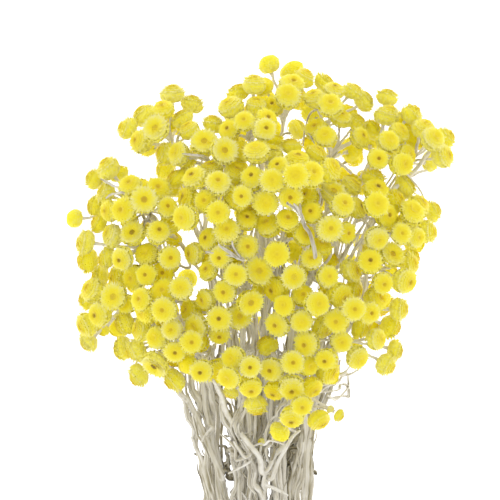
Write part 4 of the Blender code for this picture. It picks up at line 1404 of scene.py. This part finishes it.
def stem_material():
    """Dry grey-beige stems under thin wool, with painted shade in their grooves and deep in the bunch, and
    withered brown leaves.
    """
    material, tree, shader = new_material(
        "woolly_stems", {"Roughness": 0.85, "Sheen Weight": 0.3, "Specular IOR Level": 0.2}
    )
    ridge, tone = shade_channels(tree)
    streaks, patches = noise_at(tree, *STREAKS), noise_at(tree, *PATCHES)
    # Painted shade in the grooves and painted light on the bumps, with the streaks
    lit = maths(tree, "ADD", maths(tree, "MULTIPLY", ridge, RIDGE_SHADE_MIX), streaks)
    lit = maths(tree, "ADD", lit, maths(tree, "MULTIPLY", patches, PATCH_MIX))
    lit = maths(tree, "SUBTRACT", maths(tree, "ADD", lit, tone), STEM_DARKER)
    cover(tree, shader, ramp(tree, lit, STEM_COLOURS), streaks, *STEM_BUMPS)
    return material


def add_floor():
    """A plain pale floor under the bunch."""
    mesh = bpy.data.meshes.new("floor")
    far = FLOOR_HALF
    mesh.from_pydata([(-far, -far, 0), (far, -far, 0), (far, far, 0), (-far, far, 0)], [], [(0, 1, 2, 3)])
    floor = new_object("floor", mesh)
    pale = {
        "Base Color": (0.9, 0.9, 0.9, 1), "Roughness": 0.9, "Emission Color": WHITE, "Emission Strength": 1.4,
    }
    mesh.materials.append(new_material("white_floor", pale)[0])


def add_light():
    """Soft white light from all round, and a wide lamp over the bunch's upper left."""
    scene = bpy.context.scene
    scene.world = bpy.data.worlds.new("studio")
    scene.world.use_nodes = True
    tree = scene.world.node_tree
    feed(tree, tree.nodes["Background"], {"Color": WHITE, "Strength": WORLD_LIGHT})
    lamp = bpy.data.lights.new("key", "SUN")
    lamp.angle = math.radians(LAMP_WIDE)
    lamp.energy = LAMP_LIGHT
    key = new_object("key", lamp)
    key.location = LAMP_PLACE
    key.rotation_euler = np.radians(LAMP_TURN)
    scene.view_settings.view_transform = "Standard"
    scene.view_settings.gamma = GAMMA


def add_camera():
    """Straight down on the bunch with the photo's framing, through a long lens."""
    data = bpy.data.cameras.new("camera")
    data.lens = CAMERA_LENS
    data.sensor_width = CAMERA_SENSOR
    data.clip_end = CAMERA_FAR
    camera = new_object("camera", data)
    camera.location = (*CAMERA_MIDDLE * MM, (CAMERA_LEVEL + CAMERA_DISTANCE) * MM)
    bpy.context.scene.camera = camera


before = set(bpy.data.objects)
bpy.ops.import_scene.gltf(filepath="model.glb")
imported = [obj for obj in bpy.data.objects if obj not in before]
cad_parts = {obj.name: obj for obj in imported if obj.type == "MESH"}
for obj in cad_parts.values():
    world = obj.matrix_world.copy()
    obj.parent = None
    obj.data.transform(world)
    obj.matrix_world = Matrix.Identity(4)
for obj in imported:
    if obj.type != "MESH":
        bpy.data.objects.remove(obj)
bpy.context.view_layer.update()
bunch = lay_out()
name_forms(bunch)
look = np.random.default_rng(LOOK_SEED)
fill_heads(bunch, look)
dry_buds(bunch)
cover_heads(bunch)
bracts, stems = bract_material(), stem_material()
growths = []
for spray in bunch.sprays:
    heads, stem = Growth(), Growth()
    for head in spray["heads"]:
        grow_head(heads, head, look)
    grow_stem(stem, spray, look)
    for head in spray["heads"]:
        grow_pedicel(stem, spray["axis"], head, look)
    grow_leaves(stem, spray, look)
    heads.make("heads_" + spray["name"], bracts, "bracts", "spray_" + spray["name"])
    growths.append(stem)
grow_twigs(growths, bunch, look)
for spray, stem in zip(bunch.sprays, growths):
    stem.make("stem_" + spray["name"], stems, "stems", "spray_" + spray["name"])
add_floor()
add_light()
add_camera()
